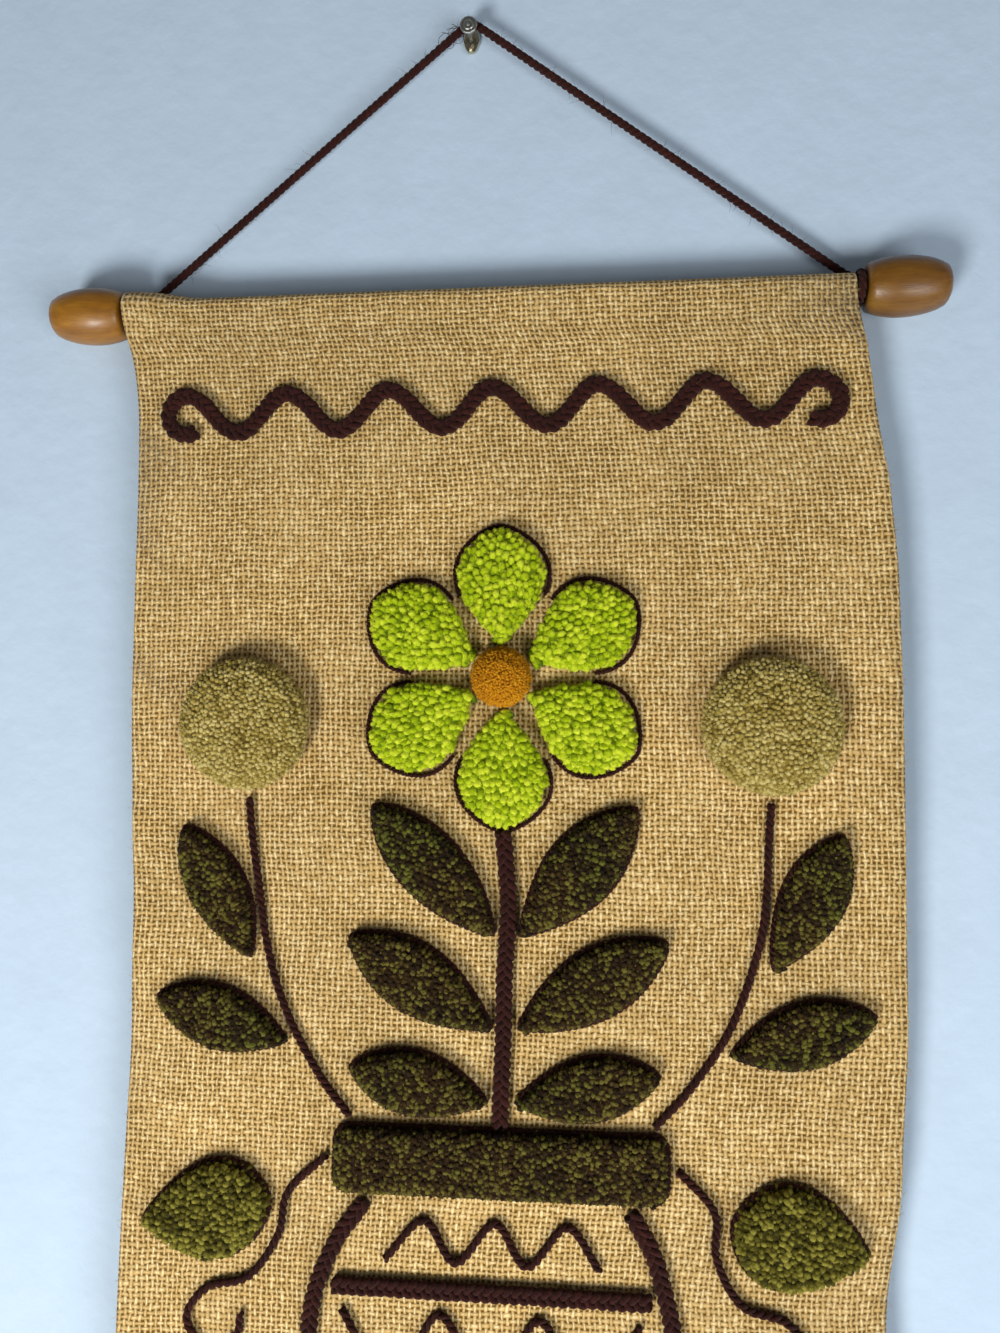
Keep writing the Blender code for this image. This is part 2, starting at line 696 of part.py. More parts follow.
def pot(parent):
    """A bellied pot: pile rim and foot, braid sides and bands, and thin yarn waves."""
    for name, (top, bottom, half) in (("pot_rim", POT_RIM), ("pot_foot", POT_FOOT)):
        shape = bar(2 * half, bottom - top)
        bm = tufted(shape, (0, (top + bottom) / 2), 0, PILE_H, CUT_PILE, 0.03)
        finish(name, bm, DARK_OLIVE, parent, round_shaded=True)
    line = smooth_line(in_mm(POT_SIDE), 10 * MM)
    for word, side in (("left", mirrored(line)), ("right", line)):
        bm = couched(side, BRAID_W, BRAID_H, BRAID_PROFILE)
        finish(f"pot_side_{word}", bm, BROWN_YARN, parent, round_shaded=True)
    for number, (down, half) in enumerate(POT_BANDS, 1):
        level = [((-half + half * k / 5) * MM, down * MM) for k in range(11)]
        bm = couched(level, BRAID_W, BRAID_H, BRAID_PROFILE)
        finish(f"pot_band_{number}", bm, BROWN_YARN, parent, round_shaded=True)
    for number, (high, low, step, turns) in enumerate(POT_WAVES, 1):
        wave = [(k * step, low if k % 2 else high) for k in range(-turns, turns + 1)]
        bm = couched(smooth_line(in_mm(wave), 6.5 * MM), YARN_W, YARN_H, YARN_PROFILE)
        finish(f"pot_wave_{number}", bm, BROWN_YARN, parent, round_shaded=True)


def main():
    remove_everything()
    root = bpy.data.objects.new("wall_hanging", None)
    bpy.context.scene.collection.objects.link(root)
    burlap_panel(root)
    rod(root)
    for side in (-1, 1):
        finial(side, root)
    nail(root)
    picture_hook(root)
    hanging_cord(root)
    cord_loop("cord_loop_left", LOOP_LEFT, root)
    cord_loop("cord_loop_right", LOOP_RIGHT, root)
    border(root)
    flower(root)
    round_tufts(root)
    dark_leaves(root)
    light_leaves(root)
    stems(root)
    pot(root)


main()
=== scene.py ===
# %% [markdown]
# # Yarn wall hanging
#
# A burlap panel hangs from a turned wooden rod. Yarn is worked on it in four ways: thick braid and thin
# two-ply yarn are couched, which means laid on the cloth and stitched down, cut pile stands up like a
# rug, and longer lime yarn ends lie over like petals. A plied cord goes over a nail in a picture hook.
#
# The measured model is loaded first as a fixed frame. Each soft solid is then replaced by a piece that
# has real strands, tufts and fibres, in the same place.

import bisect
import math
import random

import bmesh
import bpy
from mathutils import Matrix, Vector, noise


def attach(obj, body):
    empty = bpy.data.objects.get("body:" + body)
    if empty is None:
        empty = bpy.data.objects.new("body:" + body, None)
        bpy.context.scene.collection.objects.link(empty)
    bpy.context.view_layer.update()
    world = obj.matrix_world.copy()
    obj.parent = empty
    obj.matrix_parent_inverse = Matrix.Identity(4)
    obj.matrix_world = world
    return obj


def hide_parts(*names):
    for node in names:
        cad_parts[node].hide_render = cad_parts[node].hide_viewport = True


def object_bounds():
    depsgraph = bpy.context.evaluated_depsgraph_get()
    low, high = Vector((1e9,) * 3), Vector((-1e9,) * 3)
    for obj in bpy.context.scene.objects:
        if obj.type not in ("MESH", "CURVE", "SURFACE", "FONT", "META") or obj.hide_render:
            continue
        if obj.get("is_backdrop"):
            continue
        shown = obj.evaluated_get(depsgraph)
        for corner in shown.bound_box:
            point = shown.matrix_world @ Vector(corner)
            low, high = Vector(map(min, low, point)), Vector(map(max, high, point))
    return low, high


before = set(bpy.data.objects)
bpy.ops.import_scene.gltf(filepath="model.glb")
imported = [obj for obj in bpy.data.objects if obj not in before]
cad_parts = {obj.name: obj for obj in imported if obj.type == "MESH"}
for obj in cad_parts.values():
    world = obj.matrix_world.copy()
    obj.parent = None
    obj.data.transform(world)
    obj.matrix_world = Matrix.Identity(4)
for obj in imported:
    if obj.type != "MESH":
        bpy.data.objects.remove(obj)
cad_box = [list(corner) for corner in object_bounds()]
MM = 0.001
scene = bpy.context.scene
print("nodes", len(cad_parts), "box", cad_box)

# %% [markdown]
# ## Camera
#
# The picture was taken from above the middle of the panel, a little to its right, with the camera
# turned slightly to the left and tilted a little up. A camera's directions are the columns of its
# matrix, so they are worked out from those angles.

# %% Camera
YAW, PITCH, ROLL = math.radians(5.59), math.radians(2.84), math.radians(0.21)
forward = Vector((-math.sin(YAW) * math.cos(PITCH), math.cos(YAW) * math.cos(PITCH), math.sin(PITCH)))
level = Vector((math.cos(YAW), math.sin(YAW), 0))
above = level.cross(forward)
across_view = level * math.cos(ROLL) + above * math.sin(ROLL)
up_view = above * math.cos(ROLL) - level * math.sin(ROLL)
camera = bpy.data.objects.new("camera", bpy.data.cameras.new("camera"))
camera.data.lens = 26.25
camera.data.sensor_width = 36
camera.data.clip_start = 0.01
axes = Matrix((across_view, up_view, -forward)).transposed().to_4x4()
camera.matrix_world = Matrix.Translation((0.0509, -0.3892, -0.2833)) @ axes
scene.collection.objects.link(camera)
scene.camera = camera
print("camera", tuple(round(c, 3) for c in camera.location))

# %% [markdown]
# ## The lie of the cloth
#
# The panel isn't flat: its edges wander and it swells softly. The same numbers as in the measured model
# give the edges and swells here, so that yarn can be laid on the cloth by two numbers: how far across
# from the cloth's middle, and how far down from the rod.

# %% Measures of the rod, cord and cloth
ROD = Vector((6.3, -11.6, -119.0)) * MM
ROD_R = 4.0 * MM
ROD_HALF = 158 * MM
CORD_R = 1.7 * MM
LOOP_R = 1.5 * MM
LOOP_X = {"left": -143.2 * MM, "right": 145.8 * MM}
PLY_PITCH = 8.5 * MM
FRONT_Y = -17.35 * MM
GAP = 0.35 * MM
FIBRE_BACK_Y = -0.5 * MM
EDGES = (  # down from the rod, then the left and right edge, in millimetres
    (-8, -147.2, 143.5), (10, -145.0, 143.8), (24, -140.6, 147.2), (45, -138.6, 149.7),
    (84, -138.6, 155.0), (110, -139.0, 157.0), (160, -139.3, 157.6), (205, -138.0, 157.8),
    (238, -135.3, 158.0), (275, -137.0, 158.4), (331, -138.2, 155.5), (385, -138.8, 149.0),
    (440, -139.4, 150.6), (520, -137.6, 154.0), (620, -139.0, 153.0),
)
SWELLS = (  # height, across, down, width and tallness in millimetres, and its turn in degrees
    (5.0, -166, 240, 26, 22, 0), (-3.0, -162, 300, 26, 32, 0), (3.0, -160, 405, 34, 46, 0),
    (-2.0, 118, 285, 50, 110, 62), (1.6, 120, 170, 60, 70, 0), (-8.0, 166, 392, 26, 58, 0),
    (4.0, 150, 520, 38, 60, 0), (-3.2, -140, 540, 46, 50, 0), (2.6, 10, 560, 90, 40, 0),
)


def smooth(t):
    """0 to 1 with level ends."""
    t = min(1.0, max(0.0, t))
    return t * t * (3 - 2 * t)


def edge(down, column):
    """The cloth's left (column 1) or right (column 2) edge at a height, from the rod's middle."""
    at = down / MM
    for low, high in zip(EDGES, EDGES[1:]):
        if at <= high[0]:
            share = smooth((at - low[0]) / (high[0] - low[0]))
            return (low[column] + (high[column] - low[column]) * share) * MM
    return EDGES[-1][column] * MM


def middle(down):
    return ROD.x + (edge(down, 1) + edge(down, 2)) / 2


def swell(across, down):
    """How far the cloth stands out towards the viewer."""
    out = 0.0
    for height, a, d, wide, tall, turn in SWELLS:
        t = math.radians(turn)
        x, y = across / MM - a, down / MM - d
        p, q = x * math.cos(t) + y * math.sin(t), -x * math.sin(t) + y * math.cos(t)
        out += height * MM * math.exp(-((p / wide) ** 2) - (q / tall) ** 2)
    return out * smooth((down - 30 * MM) / (60 * MM))


def on_cloth(across, down, height=0.0):
    """A point that stands a height in front of the cloth's front face."""
    return Vector((middle(down) + across, FRONT_Y - swell(across, down) - height, ROD.z - down))


print("cloth's width at the rod", round(edge(0, 2) - edge(0, 1), 4))

# %% [markdown]
# ## Strands
#
# Yarn, braid and cord are all round strands wound about a line. A Blender curve with a round bevel
# makes a strand from a list of points, and a curve may hold many strands. It is turned into a mesh at
# the end, so that each piece stays exactly as it was made.

# %% Strands as one mesh


def as_mesh(bm, name):
    """A mesh of what a bmesh holds, which is then given up."""
    mesh = bpy.data.meshes.new(name)
    bm.to_mesh(mesh)
    bm.free()
    return mesh


def add_piece(name, mesh, finish, stands_for=()):
    """A mesh made into a piece that hangs with the rest."""
    made = bpy.data.objects.new(name, mesh)
    scene.collection.objects.link(made)
    mesh.materials.clear()
    mesh.materials.append(finish)
    mesh.shade_smooth()
    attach(made, "root")
    if stands_for:
        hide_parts(*stands_for)
    return made


def strands(name, lines, radius, roundness=2, closed=False, tapered=False):
    """A mesh of round strands along lists of points. roundness 0, 1 and 2 give 4, 6 and 8 sides."""
    curve = bpy.data.curves.new(name, "CURVE")
    curve.dimensions = "3D"
    curve.bevel_depth = radius
    curve.bevel_resolution = roundness
    curve.use_fill_caps = True
    for line in lines:
        spline = curve.splines.new("POLY")
        spline.points.add(len(line) - 1)
        spline.use_cyclic_u = closed
        for i, (place, p) in enumerate(zip(spline.points, line)):
            place.co = (*p, 1)
            if tapered:
                place.radius = 1.0 - 0.75 * i / (len(line) - 1)
    holder = bpy.data.objects.new(name, curve)
    scene.collection.objects.link(holder)
    mesh = bpy.data.meshes.new_from_object(holder)
    bpy.data.objects.remove(holder)
    bpy.data.curves.remove(curve)
    mesh.name = name
    return mesh


def smooth_line(points, step=2 * MM):
    """A smooth curve through the points, as points about a step apart."""
    p = [Vector(q) for q in points]
    p = [2 * p[0] - p[1]] + p + [2 * p[-1] - p[-2]]
    line = []
    for i in range(1, len(p) - 2):
        parts = max(1, round((p[i + 1] - p[i]).length / step))
        for k in range(parts):
            t = k / parts
            a = 2 * p[i]
            b = p[i + 1] - p[i - 1]
            c = 2 * p[i - 1] - 5 * p[i] + 4 * p[i + 1] - p[i + 2]
            d = 3 * p[i] - p[i - 1] - 3 * p[i + 1] + p[i + 2]
            line.append((a + b * t + c * t * t + d * t * t * t) / 2)
    return line + [p[-2]]


def evenly(line, step, closed=False):
    """The line again, with points an even step apart."""
    p = [Vector(q) for q in line] + ([Vector(line[0])] if closed else [])
    along = [0.0]
    for a, b in zip(p, p[1:]):
        along.append(along[-1] + (b - a).length)
    count = max(2, round(along[-1] / step))
    made = []
    for k in range(count + (0 if closed else 1)):
        at = along[-1] * k / count
        i = min(bisect.bisect_right(along, at), len(p) - 1)
        gap = along[i] - along[i - 1]
        made.append(p[i - 1].lerp(p[i], (at - along[i - 1]) / gap if gap else 0))
    return made


def wound(line, offset, pitch, plies, closed=False, start=0.0, aside=Vector((0, -1, 0))):
    """Plies wound round a line of evenly spaced points."""
    count = len(line)
    long = sum((b - a).length for a, b in zip(line, line[1:]))
    turns = long / pitch
    if closed:
        turns = round(turns * count / (count - 1))
    made = [[] for _ in range(plies)]
    for i, p in enumerate(line):
        if closed:
            t = (line[(i + 1) % count] - line[i - 1]).normalized()
            share = i / count
        else:
            t = (line[min(i + 1, count - 1)] - line[max(i - 1, 0)]).normalized()
            share = i / (count - 1)
        side = t.cross(aside).normalized()
        out = side.cross(t).normalized()
        for k in range(plies):
            a = start + 2 * math.pi * (turns * share + k / plies)
            made[k].append(p + side * (offset * math.cos(a)) + out * (offset * math.sin(a)))
    return made


# %% [markdown]
# ## Finishes
#
# Every finish is made of shader nodes. A small helper adds a node, sets its values and joins its
# inputs, which keeps each finish short enough to read. The weave, grain and fibres are measured in
# metres through object coordinates or the cloth's own map.

# %% Node helper


class Finish:
    """A material with short ways to add and join its nodes."""

    def __init__(self, name):
        self.made = bpy.data.materials.new(name)
        self.made.use_nodes = True
        self.nodes = self.made.node_tree.nodes
        self.links = self.made.node_tree.links
        self.shader = self.nodes["Principled BSDF"]

    def add(self, kind, settings=None, **inputs):
        node = self.nodes.new("ShaderNode" + kind)
        for key, value in (settings or {}).items():
            setattr(node, key, value)
        for key, value in inputs.items():
            self.join(node.inputs[int(key[1:]) if key[0] == "_" else key.replace("_", " ")], value)
        return node

    def join(self, socket, value):
        if isinstance(value, bpy.types.NodeSocket):
            self.links.new(value, socket)
        elif isinstance(value, bpy.types.Node):
            self.links.new(value.outputs[0], socket)
        elif isinstance(value, (tuple, list)) and len(value) == 3 and len(socket.default_value) == 4:
            socket.default_value = (*value, 1)
        else:
            socket.default_value = value

    def math(self, operation, a, b=0.0, c=0.0):
        node = self.nodes.new("ShaderNodeMath")
        node.operation = operation
        for socket, value in zip(node.inputs, (a, b, c)):
            self.join(socket, value)
        return node.outputs[0]

    def blend(self, share, a, b, way="MIX"):
        node = self.nodes.new("ShaderNodeMix")
        node.data_type = "RGBA"
        node.blend_type = way
        self.join(node.inputs[0], share)
        self.join(node.inputs[6], a)
        self.join(node.inputs[7], b)
        return node.outputs[2]

    def darkened(self, colour, red, green, blue):
        shade = self.add("CombineColor", _0=red, _1=green, _2=blue)
        return self.blend(1.0, colour, shade.outputs[0], "MULTIPLY")

    def spread(self, value, low, high, to_low=0.0, to_high=1.0):
        node = self.nodes.new("ShaderNodeMapRange")
        for socket, v in zip(node.inputs, (value, low, high, to_low, to_high)):
            self.join(socket, v)
        return node.outputs[0]

    def speckle(self, scale, detail=2.0, rough=0.5, vector=None):
        node = self.nodes.new("ShaderNodeTexNoise")
        self.join(node.inputs["Scale"], scale)
        self.join(node.inputs["Detail"], detail)
        self.join(node.inputs["Roughness"], rough)
        self.join(node.inputs["Vector"], vector or self.place())
        return node.outputs["Fac"]

    def place(self):
        return self.add("TexCoord").outputs["Object"]

    def surface(self, colour, roughness, bump=None, depth=0.0003, strength=1.0, **constants):
        self.join(self.shader.inputs["Base Color"], colour)
        self.join(self.shader.inputs["Roughness"], roughness)
        if bump is not None:
            node = self.add("Bump", Strength=strength, Distance=depth, Height=bump)
            self.join(self.shader.inputs["Normal"], node.outputs["Normal"])
        for key, value in constants.items():
            self.join(self.shader.inputs[key.replace("_", " ")], value)
        return self.made


def seen(r, g, b):
    """A colour as it is seen in a picture, as the light values that shaders take."""
    return tuple((c / 255 / 12.92) if c <= 10 else ((c / 255 + 0.055) / 1.055) ** 2.4 for c in (r, g, b))


# %% [markdown]
# ## Yarn
#
# Acrylic yarn is a bundle of thousands of fine crimped fibres. Seen close, its colour changes from
# fibre to fibre. Each tuft carries two numbers of its own: "shade", which is its dye, and "tip", which
# goes from 0 at the root to 1 at the cut end. The finish darkens the yarn towards the root, as painted
# shade between tufts, and lightens it at the cut end, as a painted highlight. The dark olive also has
# greener patches, which are mixed in by a tinge.

# %% Yarn finishes
FIBRES = 850  # the fineness of the speckle that stands for single fibres


def yarn(name, deep, usual, light, sheen, tinge=None, tufts=True, varied=0.45):
    """A yarn's finish. varied is how far one tuft's dye differs from the next one's."""
    f = Finish(name)
    fine = f.speckle(FIBRES, 4, 0.7)
    patches = f.speckle(90, 2, 0.5)
    tone = f.math("MULTIPLY_ADD", fine, 0.95, f.math("MULTIPLY", patches, 0.45))
    if tufts:
        tip = f.add("Attribute", {"attribute_name": "tip"}).outputs["Fac"]
        shade = f.add("Attribute", {"attribute_name": "shade"}).outputs["Fac"]
        tone = f.math("ADD", tone, f.math("MULTIPLY_ADD", shade, varied, -0.075 - varied / 2))
        # Painted shade and highlight: darker towards a tuft's root, lighter at its cut end.
        tone = f.math("ADD", tone, f.math("MULTIPLY_ADD", tip, 0.85, -0.72))
    else:
        tone = f.math("SUBTRACT", tone, 0.2)
    ramp = f.add("ValToRGB", Fac=tone)
    stops = ramp.color_ramp.elements
    stops[0].position, stops[0].color = 0.02, (*deep, 1)
    stops[1].position, stops[1].color = 0.98, (*light, 1)
    stops.new(0.5).color = (*usual, 1)
    colour = ramp.outputs[0]
    if tinge is not None:
        share = f.spread(f.speckle(26, 2, 0.5), 0.42, 0.62, 0.0, 0.34)
        colour = f.blend(share, colour, tinge, "SOFT_LIGHT")
    bump = f.speckle(FIBRES * 0.9, 5, 0.7)
    return f.surface(
        colour, 0.95, bump, 0.0011, 1.0, Sheen_Weight=sheen, Sheen_Roughness=0.4,
        Specular_IOR_Level=0.25,
    )


BROWN_YARN = yarn("brown_yarn", seen(22, 4, 0), seen(54, 18, 11), seen(92, 40, 29), 0.06, tufts=False)
DARK_OLIVE = yarn(
    "dark_olive_yarn", seen(28, 12, 0), seen(62, 41, 6), seen(120, 110, 44), 0.03, seen(110, 190, 60),
    varied=0.95,
)
LIGHT_OLIVE = yarn(
    "light_olive_yarn", seen(38, 34, 0), seen(97, 89, 15), seen(158, 150, 58), 0.04, varied=0.7,
)
LIME = yarn("lime_yarn", seen(88, 114, 0), seen(179, 203, 0), seen(234, 246, 60), 0.04)
PALE = yarn("pale_yarn", seen(104, 80, 18), seen(184, 162, 78), seen(236, 218, 144), 0.05)
ORANGE = yarn("orange_yarn", seen(160, 98, 0), seen(212, 140, 0), seen(232, 166, 24), 0.03)
print("yarns", [m.name for m in (BROWN_YARN, DARK_OLIVE, LIGHT_OLIVE, LIME, PALE, ORANGE)])

# %% [markdown]
# ## The hanging cord
#
# The cord comes first because its ends and its length are fixed by the rod and the nail. It is tied
# round the bare rod beside each edge of the cloth, and goes straight to the nail, over it and down
# again. Its route repeats the measured model's points. Three plies are wound round that route.

# %% Cord
NAIL_Z = -3.2 * MM
SHANK_R, CLEAR = 1.0 * MM, 0.3 * MM
apex = NAIL_Z + SHANK_R + CLEAR + CORD_R
peak = Vector((0.5 * MM, -6 * MM, apex + 1.7 * MM))
LEAVES_AT = math.radians(50)
leave = Vector((0, math.cos(LEAVES_AT), math.sin(LEAVES_AT)))
KNOT = ((0, 7.42), (0.3, 8.6), (1.3, 10.0), (3.2, 11.5))  # inwards and out from the rod's middle
tied = {}
for way, side in ((1, "left"), (-1, "right")):
    centre = ROD + Vector((LOOP_X[side], 0, 0))
    tied[side] = [centre + Vector((way * a * MM, 0, 0)) + leave * (out * MM) for a, out in KNOT]
to_left = (tied["left"][-1] - peak).normalized()
to_right = (tied["right"][-1] - peak).normalized()
bend, sag = 5.4 * MM, Vector((0, 0, -0.7 * MM))
over = [
    peak + to_left * bend * 1.2,
    peak + to_left * bend * 0.42 + sag,
    Vector((peak.x, peak.y, apex)),
    peak + to_right * bend * 0.42 + sag,
    peak + to_right * bend * 1.2,
]
route = [*tied["left"]]
route += [tied["left"][-1].lerp(over[0], 0.34), tied["left"][-1].lerp(over[0], 0.68), *over]
route += [over[-1].lerp(tied["right"][-1], 0.32), over[-1].lerp(tied["right"][-1], 0.66)]
route += tied["right"][::-1]
cord_line = evenly(smooth_line(route), 0.8 * MM)
plies = strands("plied_cord", wound(cord_line, 0.82 * MM, PLY_PITCH, 3), 0.9 * MM)
cord = add_piece("plied_cord", plies, BROWN_YARN, ["hanging_cord"])
for side, x in LOOP_X.items():
    big = ROD_R + 0.24 * MM + LOOP_R
    turn = [2 * math.pi * i / 44 for i in range(44)]
    ring = [ROD + Vector((x, big * math.cos(a), big * math.sin(a))) for a in turn]
    lines = wound(ring, 0.72 * MM, PLY_PITCH, 3, closed=True, aside=Vector((1, 0, 0)))
    mesh = strands("tied_loop_" + side, lines, 0.78 * MM, closed=True)
    add_piece("tied_loop_" + side, mesh, BROWN_YARN, ["cord_loop_" + side])

# %% [markdown]
# ## Loose fibres of the cord
#
# Old acrylic cord is hairy: short fibres stand off it all round, and near the nail a few longer ones
# have slipped out in curls. Each is a very thin strand that turns a little at every step. None goes
# behind the plane that the hanging is against.

# %% Loose fibres of the cord
rng = random.Random(4)


def stray_fibre(start, way, long, bends=5, wander=0.5):
    """A fine fibre that leaves a surface and curls as it goes."""
    line = [start.copy()]
    way = way.normalized()
    for _ in range(bends):
        way = (way + Vector([rng.uniform(-1, 1) for _ in range(3)]) * wander).normalized()
        line.append(line[-1] + way * (long / bends))
        line[-1].y = min(line[-1].y, FIBRE_BACK_Y)
    return line


hairs = []
for _ in range(150):
    i = rng.randrange(6, len(cord_line) - 6)
    t = (cord_line[i + 1] - cord_line[i]).normalized()
    out = Vector([rng.uniform(-1, 1) for _ in range(3)]).cross(t).normalized()
    start = cord_line[i] + out * 1.4 * MM
    hairs.append(stray_fibre(start, out + t * rng.uniform(-2, 2), rng.uniform(2, 6) * MM))
curl_lines = []
for _ in range(6):
    start = cord_line[len(cord_line) // 2 - rng.randrange(5, 34)]
    turn, wide, line = rng.uniform(1.5, 4.5), rng.uniform(1.6, 4.2) * MM, [start]
    for i in range(26):
        turn += rng.uniform(0.12, 0.42)
        step = Vector((math.cos(turn) - 0.12, rng.uniform(-0.15, 0.12), math.sin(turn))) * wide * 0.3
        line.append(line[-1] + step)
        line[-1].y = min(line[-1].y, FIBRE_BACK_Y)
    curl_lines.append(line)
curls = add_piece("cord_curls", strands("cord_curls", curl_lines, 0.1 * MM, 0), BROWN_YARN)
fuzz_mesh = strands("cord_fuzz", hairs, 0.07 * MM, 0, tapered=True)
cord_fuzz = add_piece("cord_fuzz", fuzz_mesh, BROWN_YARN)
print("loose fibres of the cord", len(hairs), "curls", len(curl_lines))

# %% [markdown]
# ## Burlap
#
# The cloth is one sheet, folded over the rod as a sleeve and turned up at the foot. The measured solid
# already has that shape, so a copy of it is welded and given a subdivision surface, which rounds its
# folds. The weave is coarse jute at 2.08 mm from thread to thread. Real threads would need millions of
# faces, so the weave is drawn by the finish: the cloth gets a map in metres that follows its threads
# over the rod, and nodes draw each thread as a rounded ridge that goes over and under the others. The
# upright threads are thinner, paler and stand higher. Every thread drifts, swells and has its own dye.
# The colour follows the height of the weave: it is darker where the weave lies low, as painted shade in
# the gaps and holes, and lighter at the tops of the crossings, as a painted highlight.

# %% Burlap finish
THREAD = 2.08 * MM


def burlap_finish():
    f = Finish("burlap")
    where = f.add("UVMap", {"uv_map": "threads"}).outputs[0]
    drift = f.add("TexNoise", Scale=30, Detail=3, Vector=where)
    drift_2 = f.add("TexNoise", Scale=260, Detail=1, Vector=where)
    pull = f.add("VectorMath", {"operation": "SCALE"}, _0=drift.outputs["Color"], Scale=0.003)
    pull_2 = f.add("VectorMath", {"operation": "SCALE"}, _0=drift_2.outputs["Color"], Scale=0.0014)
    moved = f.add("VectorMath", {"operation": "ADD"}, _0=where, _1=pull)
    moved = f.add("VectorMath", {"operation": "ADD"}, _0=moved, _1=pull_2)
    split = f.add("SeparateXYZ", _0=moved)
    loose = f.spread(f.speckle(38, 2, 0.5, where), 0.32, 0.68, 0.045, -0.045)
    height, tint = [], []
    u, v = (f.math("DIVIDE", split.outputs[k], THREAD) for k in (0, 1))
    for own, other, seed, thin, paler in ((u, v, 3.1, 0.29, 0.22), (v, u, 17.7, 0.35, 0.0)):
        number = f.math("FLOOR", own)
        beside = f.math("SUBTRACT", f.math("FRACT", own), 0.5)
        pair = f.add("CombineXYZ", _0=f.math("MULTIPLY", other, 0.4), _1=f.math("ADD", number, seed))
        uneven = f.speckle(1.0, 2, 0.6, pair.outputs[0])
        half = f.math("ADD", f.spread(uneven, 0.25, 0.75, thin - 0.03, thin + 0.11), loose)
        across = f.math("DIVIDE", beside, half)
        ridge = f.math("SUBTRACT", 1.0, f.math("MULTIPLY", across, across))
        ridge = f.math("SQRT", f.math("MAXIMUM", ridge, 0.0))
        parity = f.math("MULTIPLY_ADD", f.math("PINGPONG", number, 1.0), -2.0, 1.0)
        wave = f.math("COSINE", f.math("MULTIPLY", f.math("SUBTRACT", other, 0.5), math.pi))
        sign = parity if own is u else f.math("MULTIPLY", parity, -1.0)
        rise, mean = (0.16, 0.82) if own is u else (0.22, 0.72)
        over = f.math("MULTIPLY_ADD", f.math("MULTIPLY", sign, wave), rise, mean)
        height.append(f.math("MULTIPLY", ridge, over))
        dye = f.add("TexWhiteNoise", {"noise_dimensions": "1D"}, W=f.math("ADD", number, seed))
        dye = f.math("MULTIPLY_ADD", dye.outputs["Value"], 0.4, uneven)
        tint.append(f.math("ADD", dye, paler))
    top = f.math("GREATER_THAN", height[0], height[1])
    high = f.math("MAXIMUM", height[0], height[1])
    tone = f.math("ADD", tint[1], f.math("MULTIPLY", top, f.math("SUBTRACT", tint[0], tint[1])))
    fibres = f.speckle(1900, 3, 0.7)
    crossing = f.add("CombineXYZ", _0=f.math("FLOOR", u), _1=f.math("FLOOR", v))
    own_light = f.add("TexWhiteNoise", {"noise_dimensions": "2D"}, Vector=crossing).outputs["Value"]
    level = f.math("ADD", high, f.spread(fibres, 0.3, 0.7, -0.12, 0.12))
    level = f.math("ADD", level, f.spread(own_light, 0, 1, -0.14, 0.12))
    # Painted shade and highlight: the ramp runs from dark at the low parts of the weave, in the gaps and
    # holes, to pale at the tops of the crossings.
    ramp = f.add("ValToRGB", Fac=level)
    stops = ramp.color_ramp.elements
    stops[0].position, stops[0].color = 0.06, (*seen(122, 86, 18), 1)
    stops[1].position, stops[1].color = 1.0, (*seen(252, 228, 174), 1)
    between = ((0.3, seen(162, 126, 62)), (0.62, seen(206, 170, 106)), (0.86, seen(226, 192, 130)))
    for position, colour in between:
        stops.new(position).color = (*colour, 1)
    dyed = f.spread(tone, 0.3, 1.1, 0.82, 1.13)
    colour = f.darkened(ramp.outputs[0], dyed, dyed, dyed)
    stain_and_shade = f.spread(f.speckle(9, 3, 0.6, where), 0.3, 0.7, 0.86, 1.08)
    colour = f.darkened(colour, stain_and_shade, stain_and_shade, f.math("MULTIPLY", stain_and_shade, 0.98))
    bump = f.math("MULTIPLY_ADD", fibres, 0.2, high)
    return f.surface(colour, 0.95, bump, 0.0007, 1.0, Sheen_Weight=0.15, Specular_IOR_Level=0.2)


BURLAP = burlap_finish()
print("nodes in the burlap's finish", len(BURLAP.node_tree.nodes))

# %% Burlap panel
SLEEVE_R = 5.75 * MM
MAP_WIDTH = 292.5 * MM
CREASE = math.radians(60)


def welded(node):
    """A copy of a measured node's mesh with its faces joined."""
    bm = bmesh.new()
    bm.from_mesh(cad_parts[node].data)
    bmesh.ops.remove_doubles(bm, verts=bm.verts, dist=0.00001)
    return bm


def thread_map(p):
    """Where a point of the cloth lies along its two sets of threads, in metres."""
    down = ROD.z - p.z
    if down < 0:
        along = -SLEEVE_R * math.atan2(-down, ROD.y - p.y)
    elif p.y < ROD.y or down > 60 * MM:
        along = down
    else:
        along = -SLEEVE_R * math.pi - down
    left, right = edge(max(down, 0), 1), edge(max(down, 0), 2)
    return ((p.x - ROD.x - left) / (right - left) * MAP_WIDTH, along)


bm = welded("burlap_panel")
crease = bm.edges.layers.float.new("crease_edge")
for e in bm.edges:
    if e.calc_face_angle(0) > CREASE:
        e[crease] = 1.0
cloth = add_piece("burlap_cloth", as_mesh(bm, "burlap_cloth"), BURLAP, ["burlap_panel"])
rounding = cloth.modifiers.new("rounding", "SUBSURF")
rounding.levels = rounding.render_levels = 2
fine = bpy.data.meshes.new_from_object(cloth.evaluated_get(bpy.context.evaluated_depsgraph_get()))
cloth.modifiers.clear()
cloth.data = fine
bm = bmesh.new()
bm.from_mesh(fine)
threads = bm.loops.layers.uv.new("threads")
for face in bm.faces:
    for loop in face.loops:
        loop[threads].uv = thread_map(loop.vert.co)
bm.to_mesh(fine)
bm.free()
print("cloth faces", len(fine.polygons))
